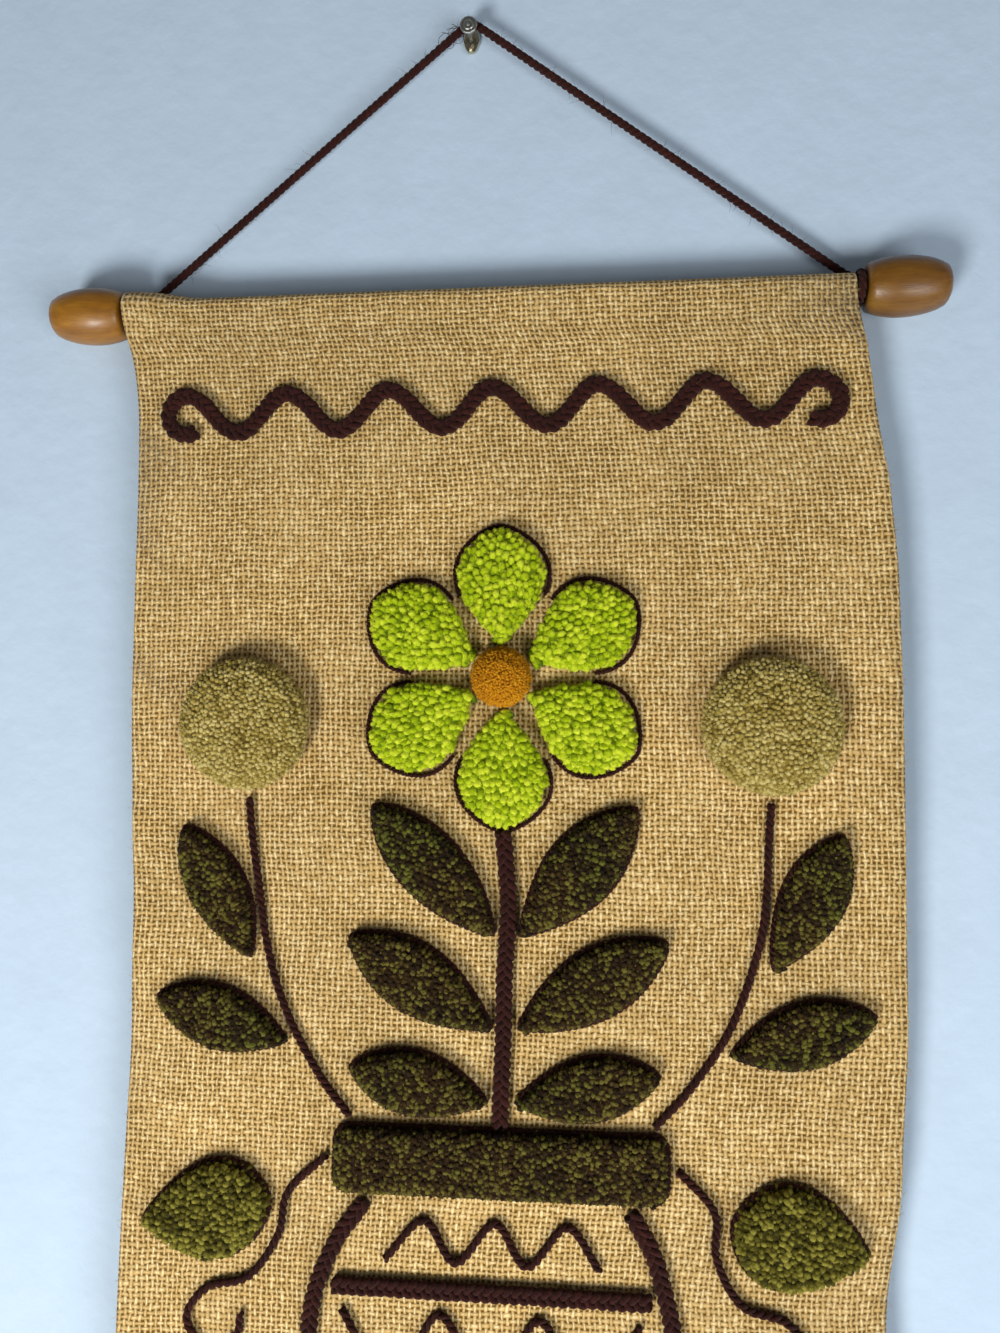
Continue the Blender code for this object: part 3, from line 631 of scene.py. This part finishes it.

# %% [markdown]
# ## Wood
#
# The rod's ends are turned barrels in honey-coloured varnish. The right one is painted a little darker
# and browner, as painted shade. A lathe cuts a profile round an axis, and spin does the same with a line
# of points.

# %% Honey wood finish


def wood_finish():
    f = Finish("honey_wood")
    spread_out = f.add("Mapping", Vector=f.place(), Scale=(0.12, 1, 1))
    grain = f.speckle(900, 4, 0.6, spread_out)
    broad = f.speckle(150, 3, 0.55, spread_out)
    drawn_out = f.add("Mapping", Vector=f.place(), Scale=(0.06, 1, 1))
    pores = f.spread(f.speckle(2600, 2, 0.5, drawn_out), 0.55, 0.72)
    ramp = f.add("ValToRGB", Fac=f.math("MULTIPLY_ADD", grain, 0.3, f.math("MULTIPLY", broad, 0.7)))
    stops = ramp.color_ramp.elements
    stops[0].position, stops[0].color = 0.3, (*seen(122, 76, 10), 1)
    stops[1].position, stops[1].color = 0.74, (*seen(187, 138, 42), 1)
    stops.new(0.52).color = (*seen(157, 105, 18), 1)
    colour = f.blend(f.math("MULTIPLY", pores, 0.3), ramp.outputs[0], seen(96, 56, 18))
    # Painted shade: the right end, past the middle, is darkened and browned.
    stain_and_shade = f.spread(f.add("SeparateXYZ", _0=f.place()).outputs[0], -0.05, 0.05, 1.0, 0.6)
    green, blue = f.math("MULTIPLY", stain_and_shade, 0.97), f.math("MULTIPLY", stain_and_shade, 0.8)
    colour = f.darkened(colour, stain_and_shade, green, blue)
    worn = f.spread(f.speckle(60, 2, 0.5), 0.4, 0.7, 0.4, 0.52)
    bump = f.math("SUBTRACT", f.math("MULTIPLY", grain, 0.3), f.math("MULTIPLY", pores, 0.5))
    return f.surface(colour, worn, bump, 0.00015, 0.5, Coat_Weight=0.3, Coat_Roughness=0.28)


WOOD = wood_finish()
print("nodes in the wood's finish", len(WOOD.node_tree.nodes))

# %% Turned ends and rod


def spun(name, profile, turns, place, finish, stands_for):
    """A turned piece about the x axis from (along, radius) points."""
    bm = bmesh.new()
    verts = [bm.verts.new((along, 0, radius)) for along, radius in profile]
    edges = [bm.edges.new(pair) for pair in zip(verts, verts[1:])]
    bmesh.ops.spin(
        bm, geom=verts + edges, axis=(1, 0, 0), cent=(0, 0, 0), angle=2 * math.pi, steps=turns, use_merge=True
    )
    bmesh.ops.remove_doubles(bm, verts=bm.verts, dist=0.000005)
    bmesh.ops.recalc_face_normals(bm, faces=bm.faces)
    bmesh.ops.translate(bm, verts=bm.verts, vec=place)
    return add_piece(name, as_mesh(bm, name), finish, stands_for)


FINIAL_SHAPE = (  # share of the length, share of the greatest radius
    (0, 0.77), (0.03, 0.8), (0.16, 0.91), (0.32, 0.985), (0.45, 1), (0.6, 0.975), (0.76, 0.9),
    (0.89, 0.79), (0.97, 0.68), (1, 0.58),
)
BORE = [Vector(at) * MM for at in ((10.5, 0), (10.5, 4.3), (0, 4.3), (0, 7.6))]
ROUNDED_TIP = [Vector(at) * MM for at in ((30.9, 5.6), (31.0, 4.6), (31.0, 0))]
barrel = smooth_line([Vector((t * 30.4, r * 11.3)) * MM for t, r in FINIAL_SHAPE])
for side, sign in (("left", -1), ("right", 1)):
    profile = [(sign * p.x, p.y) for p in (*BORE, *barrel[1:], *ROUNDED_TIP)]
    place = ROD + Vector((sign * 147.9 * MM, 0, 0))
    spun("turned_end_" + side, profile, 48, place, WOOD, ["finial_" + side])
rod_profile = [(-ROD_HALF, 0), (-ROD_HALF, ROD_R - 0.4 * MM), (-ROD_HALF + 0.4 * MM, ROD_R)]
rod_profile += [(ROD_HALF - 0.4 * MM, ROD_R), (ROD_HALF, ROD_R - 0.4 * MM), (ROD_HALF, 0)]
rod = spun("turned_rod", rod_profile, 32, ROD, WOOD, ["rod"])
print("points in a turned end's profile", len(profile), "faces of the rod", len(rod.data.polygons))

# %% [markdown]
# ## Nail and hook
#
# The nail's head is grey steel with turned rings and small marks, and the hook is a pressed brass strip
# whose pointed foot turns up. Both keep the measured shapes, with their edges rounded by a bevel.

# %% Metal finishes
RING_PITCH = 1.5 * MM


def metal_finish(name, dull, bright, roughness, ring_centre=None):
    """Stamped metal with small marks, and turned rings about a point if one is given, their grooves painted
    dark as shade.
    """
    f = Finish(name)
    marks = f.speckle(700, 3, 0.6)
    drawn_out = f.add("Mapping", Vector=f.place(), Scale=(1, 1, 0.15))
    scratches = f.speckle(1800, 2, 0.5, drawn_out)
    colour = f.blend(f.spread(marks, 0.3, 0.7), dull, bright)
    rough = f.spread(scratches, 0.3, 0.7, roughness - 0.1, roughness + 0.15)
    bump = f.math("ADD", marks, scratches)
    if ring_centre is not None:
        flat = f.add("Mapping", Vector=f.place(), Location=-ring_centre, Scale=(1, 0, 1))
        away = f.add("VectorMath", {"operation": "LENGTH"}, _0=flat).outputs["Value"]
        rings = f.math("SINE", f.math("MULTIPLY", away, 2 * math.pi / RING_PITCH))
        bump = f.math("ADD", bump, f.math("MULTIPLY", rings, 1.2))
        # Painted shade: the colour goes dark in the grooves between the rings.
        colour = f.blend(f.spread(rings, -1, 1, 0.45, 0.0), colour, (0.12, 0.12, 0.11))
    return f.surface(colour, rough, bump, 0.0002, 0.6, Metallic=1.0)


STEEL = metal_finish("nail_steel", (0.40, 0.40, 0.37), (0.78, 0.77, 0.70), 0.36, Vector((0, 0, NAIL_Z)))
BRASS = metal_finish("hook_brass", (0.50, 0.44, 0.28), (0.86, 0.78, 0.56), 0.34)
print("metals", STEEL.name, BRASS.name)

# %% Nail and hook
for node, name, finish, slot, width in (
    ("nail", "steel_nail", STEEL, "nail_steel", 0.2 * MM),
    ("picture_hook", "brass_hook", BRASS, "hook_brass", 0.14 * MM),
):
    bm = welded(node)
    sharp = [e for e in bm.edges if len(e.link_faces) == 2 and e.calc_face_angle(0) > math.radians(35)]
    bmesh.ops.bevel(
        bm, geom=sharp, offset=width, affect="EDGES", segments=2, profile=0.5, material=-1,
        clamp_overlap=True,
    )
    piece = add_piece(name, as_mesh(bm, name), finish, [node])
    piece.data.set_sharp_from_angle(angle=math.radians(50))
    print(name, len(sharp), "edges rounded")

# %% [markdown]
# ## Braid
#
# The thick lines are flat plaits of three strands. In a plait each strand swings from side to side and
# dips under its neighbour twice for each swing, which is a sine across and a sine of twice the speed
# up and down. The line that the plait follows is given on the cloth, and its middle is kept in a list,
# from which loose fibres start later.

# %% Plaits
PLAIT_STEP = 0.85 * MM
STRAND_R = 1.28 * MM
laid = []


def lay_on(line, height):
    points = [on_cloth(p.x, p.y, height) for p in line]
    laid.extend(points)
    return points


def braid(name, line, stands_for, width=7 * MM, height=4 * MM, pitch=10.5 * MM):
    """A flat plait of three strands along a line on the cloth."""
    line = evenly(line, PLAIT_STEP)
    swings = max(1, round(PLAIT_STEP * (len(line) - 1) / pitch))
    lay_on(line, height / 2)
    lines = []
    for k in range(3):
        lines.append([])
        for i, p in enumerate(line):
            t = (line[min(i + 1, len(line) - 1)] - line[max(i - 1, 0)]).normalized()
            a = 2 * math.pi * (swings * i / (len(line) - 1) + k / 3)
            wobble = noise.noise(Vector((p.x * 90, p.y * 90, k))) * 0.35 * MM
            side = (width / 2 - STRAND_R) * math.sin(a) + wobble
            up = GAP + height / 2 + 0.72 * MM * math.sin(2 * a)
            lines[-1].append(on_cloth(p.x + t.y * side, p.y - t.x * side, up))
    return add_piece(name, strands(name, lines, STRAND_R), BROWN_YARN, stands_for)


def in_mm(points):
    return [Vector((a * MM, d * MM)) for a, d in points]


def mirrored(line):
    return [Vector((-p.x, p.y)) for p in line]


WAVES, WAVE_LONG = 6, 41 * MM
CURL_R, CURL_STEP = 9 * MM, math.radians(6.5)
half = WAVES * WAVE_LONG / 2
border_line = []
for i in range(193):
    across = -half + 2 * half * i / 192
    swing = math.cos(math.pi * across / WAVE_LONG * 2)
    border_line.append(Vector((across, 45 * MM - 7.8 * MM * swing)))
curl = []
for i in range(1, 33):
    turn, r = CURL_STEP * i, CURL_R - 0.075 * MM * i
    curl.append(Vector((half + r * math.sin(turn), border_line[-1].y + CURL_R - r * math.cos(turn))))
braid("braided_border", mirrored(curl)[::-1] + border_line + curl, ["border"])
STEM = ((0, 208.6), (0.6, 235), (-0.4, 270), (0, 318.2))
braid("braided_stem", smooth_line(in_mm(STEM)), ["stem_middle"])
POT_SIDE = ((50, 347.8), (60, 364), (67, 386), (68, 408), (62, 432), (50, 453), (43, 468.6))
pot_side = smooth_line(in_mm(POT_SIDE))
braid("pot_braid_left", mirrored(pot_side), ["pot_side_left"])
braid("pot_braid_right", pot_side, ["pot_side_right"])
for number, (down, reach) in enumerate(((379, 59.3), (425, 58.2)), 1):
    braid(f"pot_belt_{number}", in_mm(((-reach, down), (0, down), (reach, down))), [f"pot_band_{number}"])
print("points on the braids", len(laid))

# %% [markdown]
# ## Thin yarn
#
# Side stems, tendrils and the waves on the pot are two-ply yarn, so they are two strands wound round
# each other like a rope.

# %% Two-ply yarn
YARN_WIDE = 3.4 * MM


def two_ply(name, lines, stands_for=(), width=YARN_WIDE, height=2.9 * MM, closed=False):
    """Two-ply yarn along lines on the cloth."""
    ply = width * 0.27
    wound_lines = []
    for line in lines:
        line = lay_on(evenly(line, 0.75 * MM, closed), GAP + height / 2)
        wound_lines += wound(line, width / 2 - ply, 6.2 * MM * width / YARN_WIDE, 2, closed)
    mesh = strands(name, wound_lines, ply, 1, closed)
    return add_piece(name, mesh, BROWN_YARN, stands_for)


SIDE_STEM = ((57.5, 316.6), (70, 302), (84, 279), (93, 252), (97, 225), (99.5, 197))
TENDRIL = (
    (66.2, 332), (80, 346), (82, 362), (92, 378), (108, 383), (116, 394), (109, 405), (97, 401), (95, 392),
)
for word, points in (("stem", SIDE_STEM), ("tendril", TENDRIL)):
    line = smooth_line(in_mm(points))
    two_ply(f"yarn_{word}_left", [mirrored(line)], [f"{word}_left"])
    two_ply(f"yarn_{word}_right", [line], [f"{word}_right"])
POT_WAVES = ((354, 369, 13.4), (416, 388, 18.6), (434, 450, 15))  # high, low and step, in millimetres
for number, (high, low, step) in enumerate(POT_WAVES, 1):
    wave = [(k * step, low if k % 2 else high) for k in range(-3, 4)]
    two_ply(f"yarn_wave_{number}", [smooth_line(in_mm(wave))], [f"pot_wave_{number}"])
print("points on the braids and yarns", len(laid))

# %% [markdown]
# ## Tufts
#
# Pile is thousands of short yarn ends. They are spread over the measured slab so that no two stand
# closer than the yarn is thick: points are thrown at random, and one that falls too near another is
# dropped. A tuft is a small lumpy knob with a few pointed fibres. A handful of them are made once, and
# each spot gets a copy that is turned along the surface's own direction and stretched. A second layer
# of plain knobs, sunk between the first, is what shows in the gaps. Below both, a copy of the slab
# pulled in a little is the dense base of the pile. It is given a low tip number, so its colour is
# painted darker, as painted shade in the gaps.

# %% Spreading and planting tufts
BASE_DEEP = 1.0 * MM
TRIES = 11  # throws for each patch of the size of one tuft


def thrown(bm, apart, seed):
    """Points spread over a slab's front and sides, each with the direction that the surface faces."""
    rnd = random.Random(seed)
    bmesh.ops.triangulate(bm, faces=bm.faces)
    bm.normal_update()
    chosen = [f for f in bm.faces if f.normal.y < 0.25]
    total, sums = 0.0, []
    for f in chosen:
        total += f.calc_area()
        sums.append(total)
    grid, found = {}, []
    for _ in range(int(total / apart**2 * TRIES)):
        f = chosen[min(bisect.bisect(sums, rnd.random() * total), len(chosen) - 1)]
        a, b, c = (v.co for v in f.verts)
        s, t = math.sqrt(rnd.random()), rnd.random()
        p = a * (1 - s) + b * (s * (1 - t)) + c * (s * t)
        key = (int(p.x // apart), int(p.y // apart), int(p.z // apart))
        near = (
            q
            for i in (-1, 0, 1)
            for j in (-1, 0, 1)
            for k in (-1, 0, 1)
            for q in grid.get((key[0] + i, key[1] + j, key[2] + k), ())
        )
        if all((p - q).length_squared > apart * apart for q in near):
            grid.setdefault(key, []).append(p)
            found.append((p, f.normal.copy()))
    return found


def tuft(seed, fibres, fine=False):
    """One cut end about the origin: a lumpy knob, narrower at its root, with fibres that stand off."""
    rnd = random.Random(seed)
    bm = bmesh.new()
    tip = bm.verts.layers.float.new("tip")
    bm.verts.layers.float.new("shade")
    if fine:
        bmesh.ops.create_uvsphere(bm, u_segments=7, v_segments=5, radius=1)
    else:
        bmesh.ops.create_icosphere(bm, subdivisions=1, radius=1)
    for v in bm.verts:
        # tip drives the painted shade at the root and the painted highlight at the cut end.
        v[tip] = 0.5 + 0.5 * v.co.z
        narrow = 1.0 - 0.3 * max(0.0, -v.co.z)
        v.co = Vector((v.co.x * narrow, v.co.y * narrow, v.co.z)) * rnd.uniform(0.86, 1.1)
    for _ in range(fibres):
        way = Vector((rnd.gauss(0, 0.7), rnd.gauss(0, 0.7), 1)).normalized()
        matrix = Matrix.Translation(way * 1.05) @ way.to_track_quat("Z", "Y").to_matrix().to_4x4()
        matrix = matrix @ Matrix.Rotation(rnd.uniform(-0.5, 0.5), 4, "X")
        made = bmesh.ops.create_cone(
            bm, cap_ends=True, segments=3, radius1=0.12, radius2=0, depth=0.66, matrix=matrix,
        )
        # The fibres get the highest tip, so they are painted brightest, as a painted highlight.
        for v in made["verts"]:
            v[tip] = 1.05
    return as_mesh(bm, "tuft")


FINE_TUFTS = [tuft(seed, 3, fine=True) for seed in range(6)]
TUFTS = [tuft(seed, 3) for seed in range(6)]
KNOBS = [tuft(seed, 0) for seed in range(4)]
print("faces of a tuft", len(FINE_TUFTS[0].polygons), len(TUFTS[0].polygons), len(KNOBS[0].polygons))


def pile(
    name, node, finish, apart, seed, length=1.15, lean=None, ends=TUFTS, sunk=0.6 * MM, fill=1.1,
):
    """A slab of tufts in place of a measured node, with a second layer sunk between the first.

    length is a tuft's, as a share of apart, and fill is the second layer's spacing, in the same way.
    lean is a direction that the tufts lie towards.
    """
    rnd = random.Random(seed)
    bm = welded(node)
    spots = [(p, normal, 0.0) for p, normal in thrown(bm, apart, seed)]
    spots += [(p, normal, sunk) for p, normal in thrown(bm, apart * fill, seed + 500)]
    bm.free()
    bm = welded(node)
    bm.normal_update()
    tip = bm.verts.layers.float.new("tip")
    shade = bm.verts.layers.float.new("shade")
    # The base's low tip number paints it dark: painted shade between the tufts.
    for v in bm.verts:
        v.co = v.co - v.normal * BASE_DEEP
        v[tip], v[shade] = 0.3, 0.5
    for p, normal, deep in spots:
        way = normal + Vector([rnd.uniform(-0.28, 0.28) for _ in range(3)])
        if lean is not None:
            way = way.normalized() * 0.62 + lean
        way.normalize()
        thick = apart * 0.84 * rnd.uniform(0.8, 1.15)
        tall = apart * length * rnd.uniform(0.9, 1.12)
        centre = p + normal * (rnd.uniform(-0.4, 0.2) * MM - deep) - way * tall * 0.82
        turn = way.to_track_quat("Z", "Y").to_matrix().to_4x4()
        turn = turn @ Matrix.Rotation(rnd.uniform(0, 6.28), 4, "Z")
        stretch = Matrix.Diagonal((thick, thick * rnd.uniform(0.8, 1.0), tall, 1))
        one = rnd.choice(KNOBS if deep else ends).copy()
        one.transform(Matrix.Translation(centre) @ turn @ stretch)
        one.attributes["shade"].data.foreach_set("value", [rnd.random()] * len(one.vertices))
        bm.from_mesh(one)
        bpy.data.meshes.remove(one)
    mesh = as_mesh(bm, name)
    add_piece(name, mesh, finish, [node])
    print(name, len(spots), "tufts", len(mesh.polygons), "faces")


# %% [markdown]
# ## Leaves, pot rim and foot
#
# These are short cut pile, sheared level: dark olive for most, and a lighter olive, in thicker tufts,
# for two leaves. A line of two-ply brown yarn runs round the foot of each one. Its outline is the same
# pointed oval or bar as the solid's, made a little larger.

# %% Outlines


def lens(length, width, share_of_widest, blunt, steps=40):
    """A closed outline along +x about its own middle, widest at a share of its length."""
    side = []
    count = steps // 2
    power = math.log(0.5) / math.log(share_of_widest)
    for i in range(1, count):
        t = (1 - math.cos(math.pi * i / count)) / 2
        side.append(Vector(((t - 0.5) * length, width / 2 * math.sin(math.pi * t**power) ** blunt)))
    foot, tip = Vector((-length / 2, 0)), Vector((length / 2, 0))
    return [foot] + [Vector((p.x, -p.y)) for p in side] + [tip] + side[::-1]


def grown(outline, by):
    """The outline made larger by a distance at its ends and sides."""
    wide, tall = max(p.x for p in outline), max(p.y for p in outline)
    return [Vector((p.x * (1 + by / wide), p.y * (1 + by / tall))) for p in outline]


def placed(outline, at, angle):
    """The outline turned and moved to its place on the cloth, where the second number runs down."""
    c, s = math.cos(angle), math.sin(angle)
    return [Vector((at[0] + p.x * c + p.y * s, at[1] - p.x * s + p.y * c)) for p in outline]


def leaf_middle(a, d, angle, length):
    return (a + length / 2 * math.cos(angle), d - length / 2 * math.sin(angle))


def bar(length, width, corner=5 * MM):
    """A closed outline of a bar with round corners, about its own middle."""
    outline = []
    for k, (sx, sy) in enumerate(((-1, 1), (1, 1), (1, -1), (-1, -1))):
        centre = Vector((sx * (length / 2 - corner), sy * (width / 2 - corner)))
        for i in range(7):
            turn = math.pi * (1 - k / 2) - math.pi / 12 * i
            outline.append(centre + Vector((math.cos(turn), math.sin(turn))) * corner)
    return outline


def edge_yarn(name, outline, at, angle):
    """Yarn round the foot of a pile shape."""
    line = placed(grown(outline, 1.5 * MM), at, angle)
    two_ply(name, [line], width=2.8 * MM, height=2.4 * MM, closed=True)


# %% Dark and light leaves, pot rim and foot
DARK_LEAVES = (  # start across and down, angle, length and width, in millimetres and degrees
    (6.5, 246, 47, 62, 22), (7.0, 281, 31, 60, 22), (7.5, 309, 12, 50, 20), (100, 256, 62, 52, 19),
    (86, 289, 17, 50, 20),
)
LIGHT_LEAF = (88.5, 350, -10, 46, 33)
DARK_APART, LIGHT_APART = 1.65 * MM, 1.9 * MM


def leaf_place(leaf, sign):
    """A leaf's middle on the cloth and its angle there, on the left (-1) or right (1)."""
    a, d, angle, length, _ = leaf
    turn = math.radians(angle if sign > 0 else 180 - angle)
    return leaf_middle(sign * a * MM, d * MM, turn, length * MM), turn


for side, sign in (("left", -1), ("right", 1)):
    for number, leaf in enumerate(DARK_LEAVES, 1):
        word = f"{side}_{number}"
        pile(
            f"dark_pile_{word}", f"dark_leaf_{word}", DARK_OLIVE, DARK_APART,
            number * 7 + sign,
        )
        outline = lens(leaf[3] * MM, leaf[4] * MM, 0.54, 0.72)
        edge_yarn(f"dark_leaf_edge_{word}", outline, *leaf_place(leaf, sign))
    pile(
        f"light_pile_{side}", f"light_leaf_{side}", LIGHT_OLIVE, LIGHT_APART,
        40 + sign, ends=FINE_TUFTS, fill=0.9,
    )
    outline = lens(LIGHT_LEAF[3] * MM, LIGHT_LEAF[4] * MM, 0.4, 0.8)
    edge_yarn(f"light_leaf_edge_{side}", outline, *leaf_place(LIGHT_LEAF, sign))
for word, top, bottom, reach in (("rim", 321.5, 342.5, 61), ("foot", 474, 492, 43)):
    pile(f"pot_pile_{word}", f"pot_{word}", DARK_OLIVE, DARK_APART, len(word))
    edge_yarn(f"pot_edge_{word}", bar(2 * reach * MM, (bottom - top) * MM), (0, (top + bottom) / 2 * MM), 0)

# %% [markdown]
# ## Flower and round tufts
#
# The petals are longer lime ends that lie over towards the petal's tip, with a thin line of brown yarn
# round all but their feet. The flower's middle is velvet-fine, and the pale tufts are dense pompons
# sheared to a dome.

# %% Flower and round tufts
PETALS, PETAL_LONG, PETAL_WIDE = 6, 42 * MM, 32 * MM
PETAL_FOOT, FLOWER_DOWN = 14.2 * MM, 150 * MM
petal_edges = []
for k in range(PETALS):
    angle = math.pi / 2 + 2 * math.pi * k / PETALS
    lean = Vector((math.cos(angle), -0.1, math.sin(angle))) * 0.4
    pile(
        f"petal_pile_{k + 1}", f"petal_{k + 1}", LIME, 2.3 * MM, 60 + k, 1.2, lean,
        ends=FINE_TUFTS, fill=0.8,
    )
    outline = grown(lens(PETAL_LONG, PETAL_WIDE, 0.6, 0.62), 2.5 * MM)
    start = next(i for i, p in enumerate(outline) if p.x > -0.14 * PETAL_LONG)
    outer = outline[start : len(outline) - start + 1]
    at = (PETAL_FOOT * math.cos(angle), FLOWER_DOWN - PETAL_FOOT * math.sin(angle))
    petal_edges.append(placed(outer, leaf_middle(*at, angle, PETAL_LONG), angle))
two_ply("petal_edges", petal_edges, width=1.9 * MM, height=1.7 * MM)
pile("flower_ball", "flower_middle", ORANGE, 0.85 * MM, 80, sunk=0.3 * MM)
for side in ("left", "right"):
    pile(f"pale_pile_{side}", f"round_tuft_{side}", PALE, 1.5 * MM, 90 + len(side))

# %% [markdown]
# ## Stitches and loose fibres
#
# The sleeve and the hem are closed from behind with a running stitch in jute thread. Jute sheds fine
# fibres all over and frays a little at its cut sides, and the couched yarn has a fine fuzz as well.

# %% Stitches behind
SEAMS = ((34, -132, 141, -3.5), (594, -135, 149, -3.25))  # down, from, to and height, in millimetres
STITCH = ((-0.4, 0.5), (0, -0.15), (2, -0.25), (4, -0.15), (4.4, 0.5))  # along and up from the cloth
STITCH_LONG, STITCH_APART, STITCH_R = 4, 7.0, 0.32 * MM
stitches = []
for down, low, high, height in SEAMS:
    across = low
    while across < high - STITCH_LONG:
        x = ROD.x + across * MM - middle(down * MM)
        stitches.append([on_cloth(x + a * MM, down * MM, (height + b) * MM) for a, b in STITCH])
        across += STITCH_APART
JUTE = yarn("jute_thread", seen(128, 96, 46), seen(206, 172, 112), seen(244, 216, 160), 0.1, tufts=False)
add_piece("hem_stitches", strands("hem_stitches", stitches, STITCH_R, 1), JUTE)
print("stitches", len(stitches))

# %% Loose fibres of jute and yarn
SHED, FRAYED, FUZZ = 420, 520, 1100


def fuzz(name, spots, long, finish, thick=0.055 * MM):
    """Fine fibres that leave points, each in a given direction."""
    lines = [stray_fibre(p, way, rng.uniform(*long) * MM, 4, 0.7) for p, way in spots]
    return add_piece(name, strands(name, lines, thick, 0, tapered=True), finish)


def any_way(x=0.0, y=0.0, z=0.0):
    """A direction near the one given."""
    return Vector((x + rng.uniform(-1, 1), y + rng.uniform(-1, 1), z + rng.uniform(-1, 1)))


shed = []
for _ in range(SHED):
    down = rng.uniform(4, 605) * MM
    across = rng.uniform(-0.495, 0.495) * (edge(down, 2) - edge(down, 1))
    shed.append((on_cloth(across, down, 0.05 * MM), any_way(y=-0.6)))
frayed = []
for _ in range(FRAYED):
    down = rng.uniform(2, 608) * MM
    side = rng.choice((-1, 1))
    across = side * (edge(down, 2) - edge(down, 1)) / 2
    frayed.append((on_cloth(across, down, rng.uniform(-1.0, -0.1) * MM), any_way(x=side * 1.4)))
fuzz("shed_jute", shed, (2.5, 8), JUTE)
fuzz("frayed_jute", frayed, (0.8, 3.2), JUTE, 0.07 * MM)
hairy = [(rng.choice(laid), any_way(y=-0.5)) for _ in range(FUZZ)]
fuzz("yarn_fuzz", hairy, (2.2, 4.4), BROWN_YARN)
print("loose fibres", SHED + FRAYED + FUZZ)

# %% [markdown]
# ## Floor, backdrop and light
#
# The hanging is shown before a plain pale blue backdrop, with a plain pale floor far below it. Neither
# is part of it. The backdrop is see-through from behind, so that the back of the cloth can be looked at.
# One soft lamp stands low on the left, below the foot of the cloth, and a larger, weaker one fills from
# the right.

# %% Floor and backdrop


def plain(name, colour, one_sided=False):
    """A matt finish with faint lumps. One-sided, it can't be seen from behind."""
    f = Finish(name)
    lumps = f.speckle(34, 3, 0.55)
    tint = f.blend(f.spread(lumps, 0.3, 0.7), colour, tuple(min(1, c * 1.05) for c in colour))
    made = f.surface(tint, 0.9, f.speckle(120, 3, 0.5), 0.0012, 0.35, Specular_IOR_Level=0.2)
    if one_sided:
        behind = f.add("NewGeometry").outputs["Backfacing"]
        seen_through = f.add("MixShader", _0=behind, _1=f.shader, _2=f.add("BsdfTransparent"))
        f.join(f.nodes["Material Output"].inputs["Surface"], seen_through)
    return made


def stage_sheet(name, size, place, turn, finish):
    bm = bmesh.new()
    bmesh.ops.create_grid(bm, x_segments=1, y_segments=1, size=size)
    bmesh.ops.transform(bm, verts=bm.verts, matrix=Matrix.Translation(place) @ Matrix.Rotation(turn, 4, "X"))
    mesh = as_mesh(bm, name)
    mesh.materials.append(finish)
    made = bpy.data.objects.new(name, mesh)
    scene.collection.objects.link(made)
    made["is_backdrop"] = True


FLOOR_Z, BACKDROP_HALF, BEHIND = -2.4, 2.05, 1.2 * MM
PALE_BLUE = plain("pale_backdrop", seen(200, 220, 240), one_sided=True)
stage_sheet("backdrop", BACKDROP_HALF, (0, BEHIND, FLOOR_Z + BACKDROP_HALF), math.pi / 2, PALE_BLUE)
stage_sheet("floor", 3, (0, 0, FLOOR_Z), 0, plain("pale_floor", seen(226, 224, 220)))
print("floor", FLOOR_Z, "backdrop", BACKDROP_HALF * 2)

# %% Light


def lamp(name, place, at, size, power, colour):
    data = bpy.data.lights.new(name, "AREA")
    data.shape = "DISK"
    data.size = size
    data.energy = power
    data.color = colour
    made = bpy.data.objects.new(name, data)
    made.location = place
    made.rotation_mode = "QUATERNION"
    made.rotation_quaternion = (Vector(at) - Vector(place)).to_track_quat("-Z", "Y")
    scene.collection.objects.link(made)


lamp("window", (-0.5, -0.98, -1.15), (0, 0, -0.5), 0.42, 15.4, (1.0, 0.985, 0.95))
lamp("fill", (0.85, -1.0, -0.95), (0, 0, -0.5), 0.8, 9.7, (0.98, 0.99, 1.0))
world = bpy.data.worlds.new("studio")
scene.world = world
world.use_nodes = True
world.node_tree.nodes["Background"].inputs[0].default_value = (0.93, 0.96, 1.0, 1)
world.node_tree.nodes["Background"].inputs[1].default_value = 0.12
scene.view_settings.view_transform = "Standard"

# %% [markdown]
# ## Sizes
#
# The finished pieces must fill the same box as the measured model, apart from a little fluff, so both
# boxes are measured and written down.

# %% Sizes and finish
visual_box = [list(corner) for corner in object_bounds()]
for name, low, high in (("cad", *cad_box), ("visual", *visual_box)):
    print(name, [round((b - a) / MM, 1) for a, b in zip(low, high)])
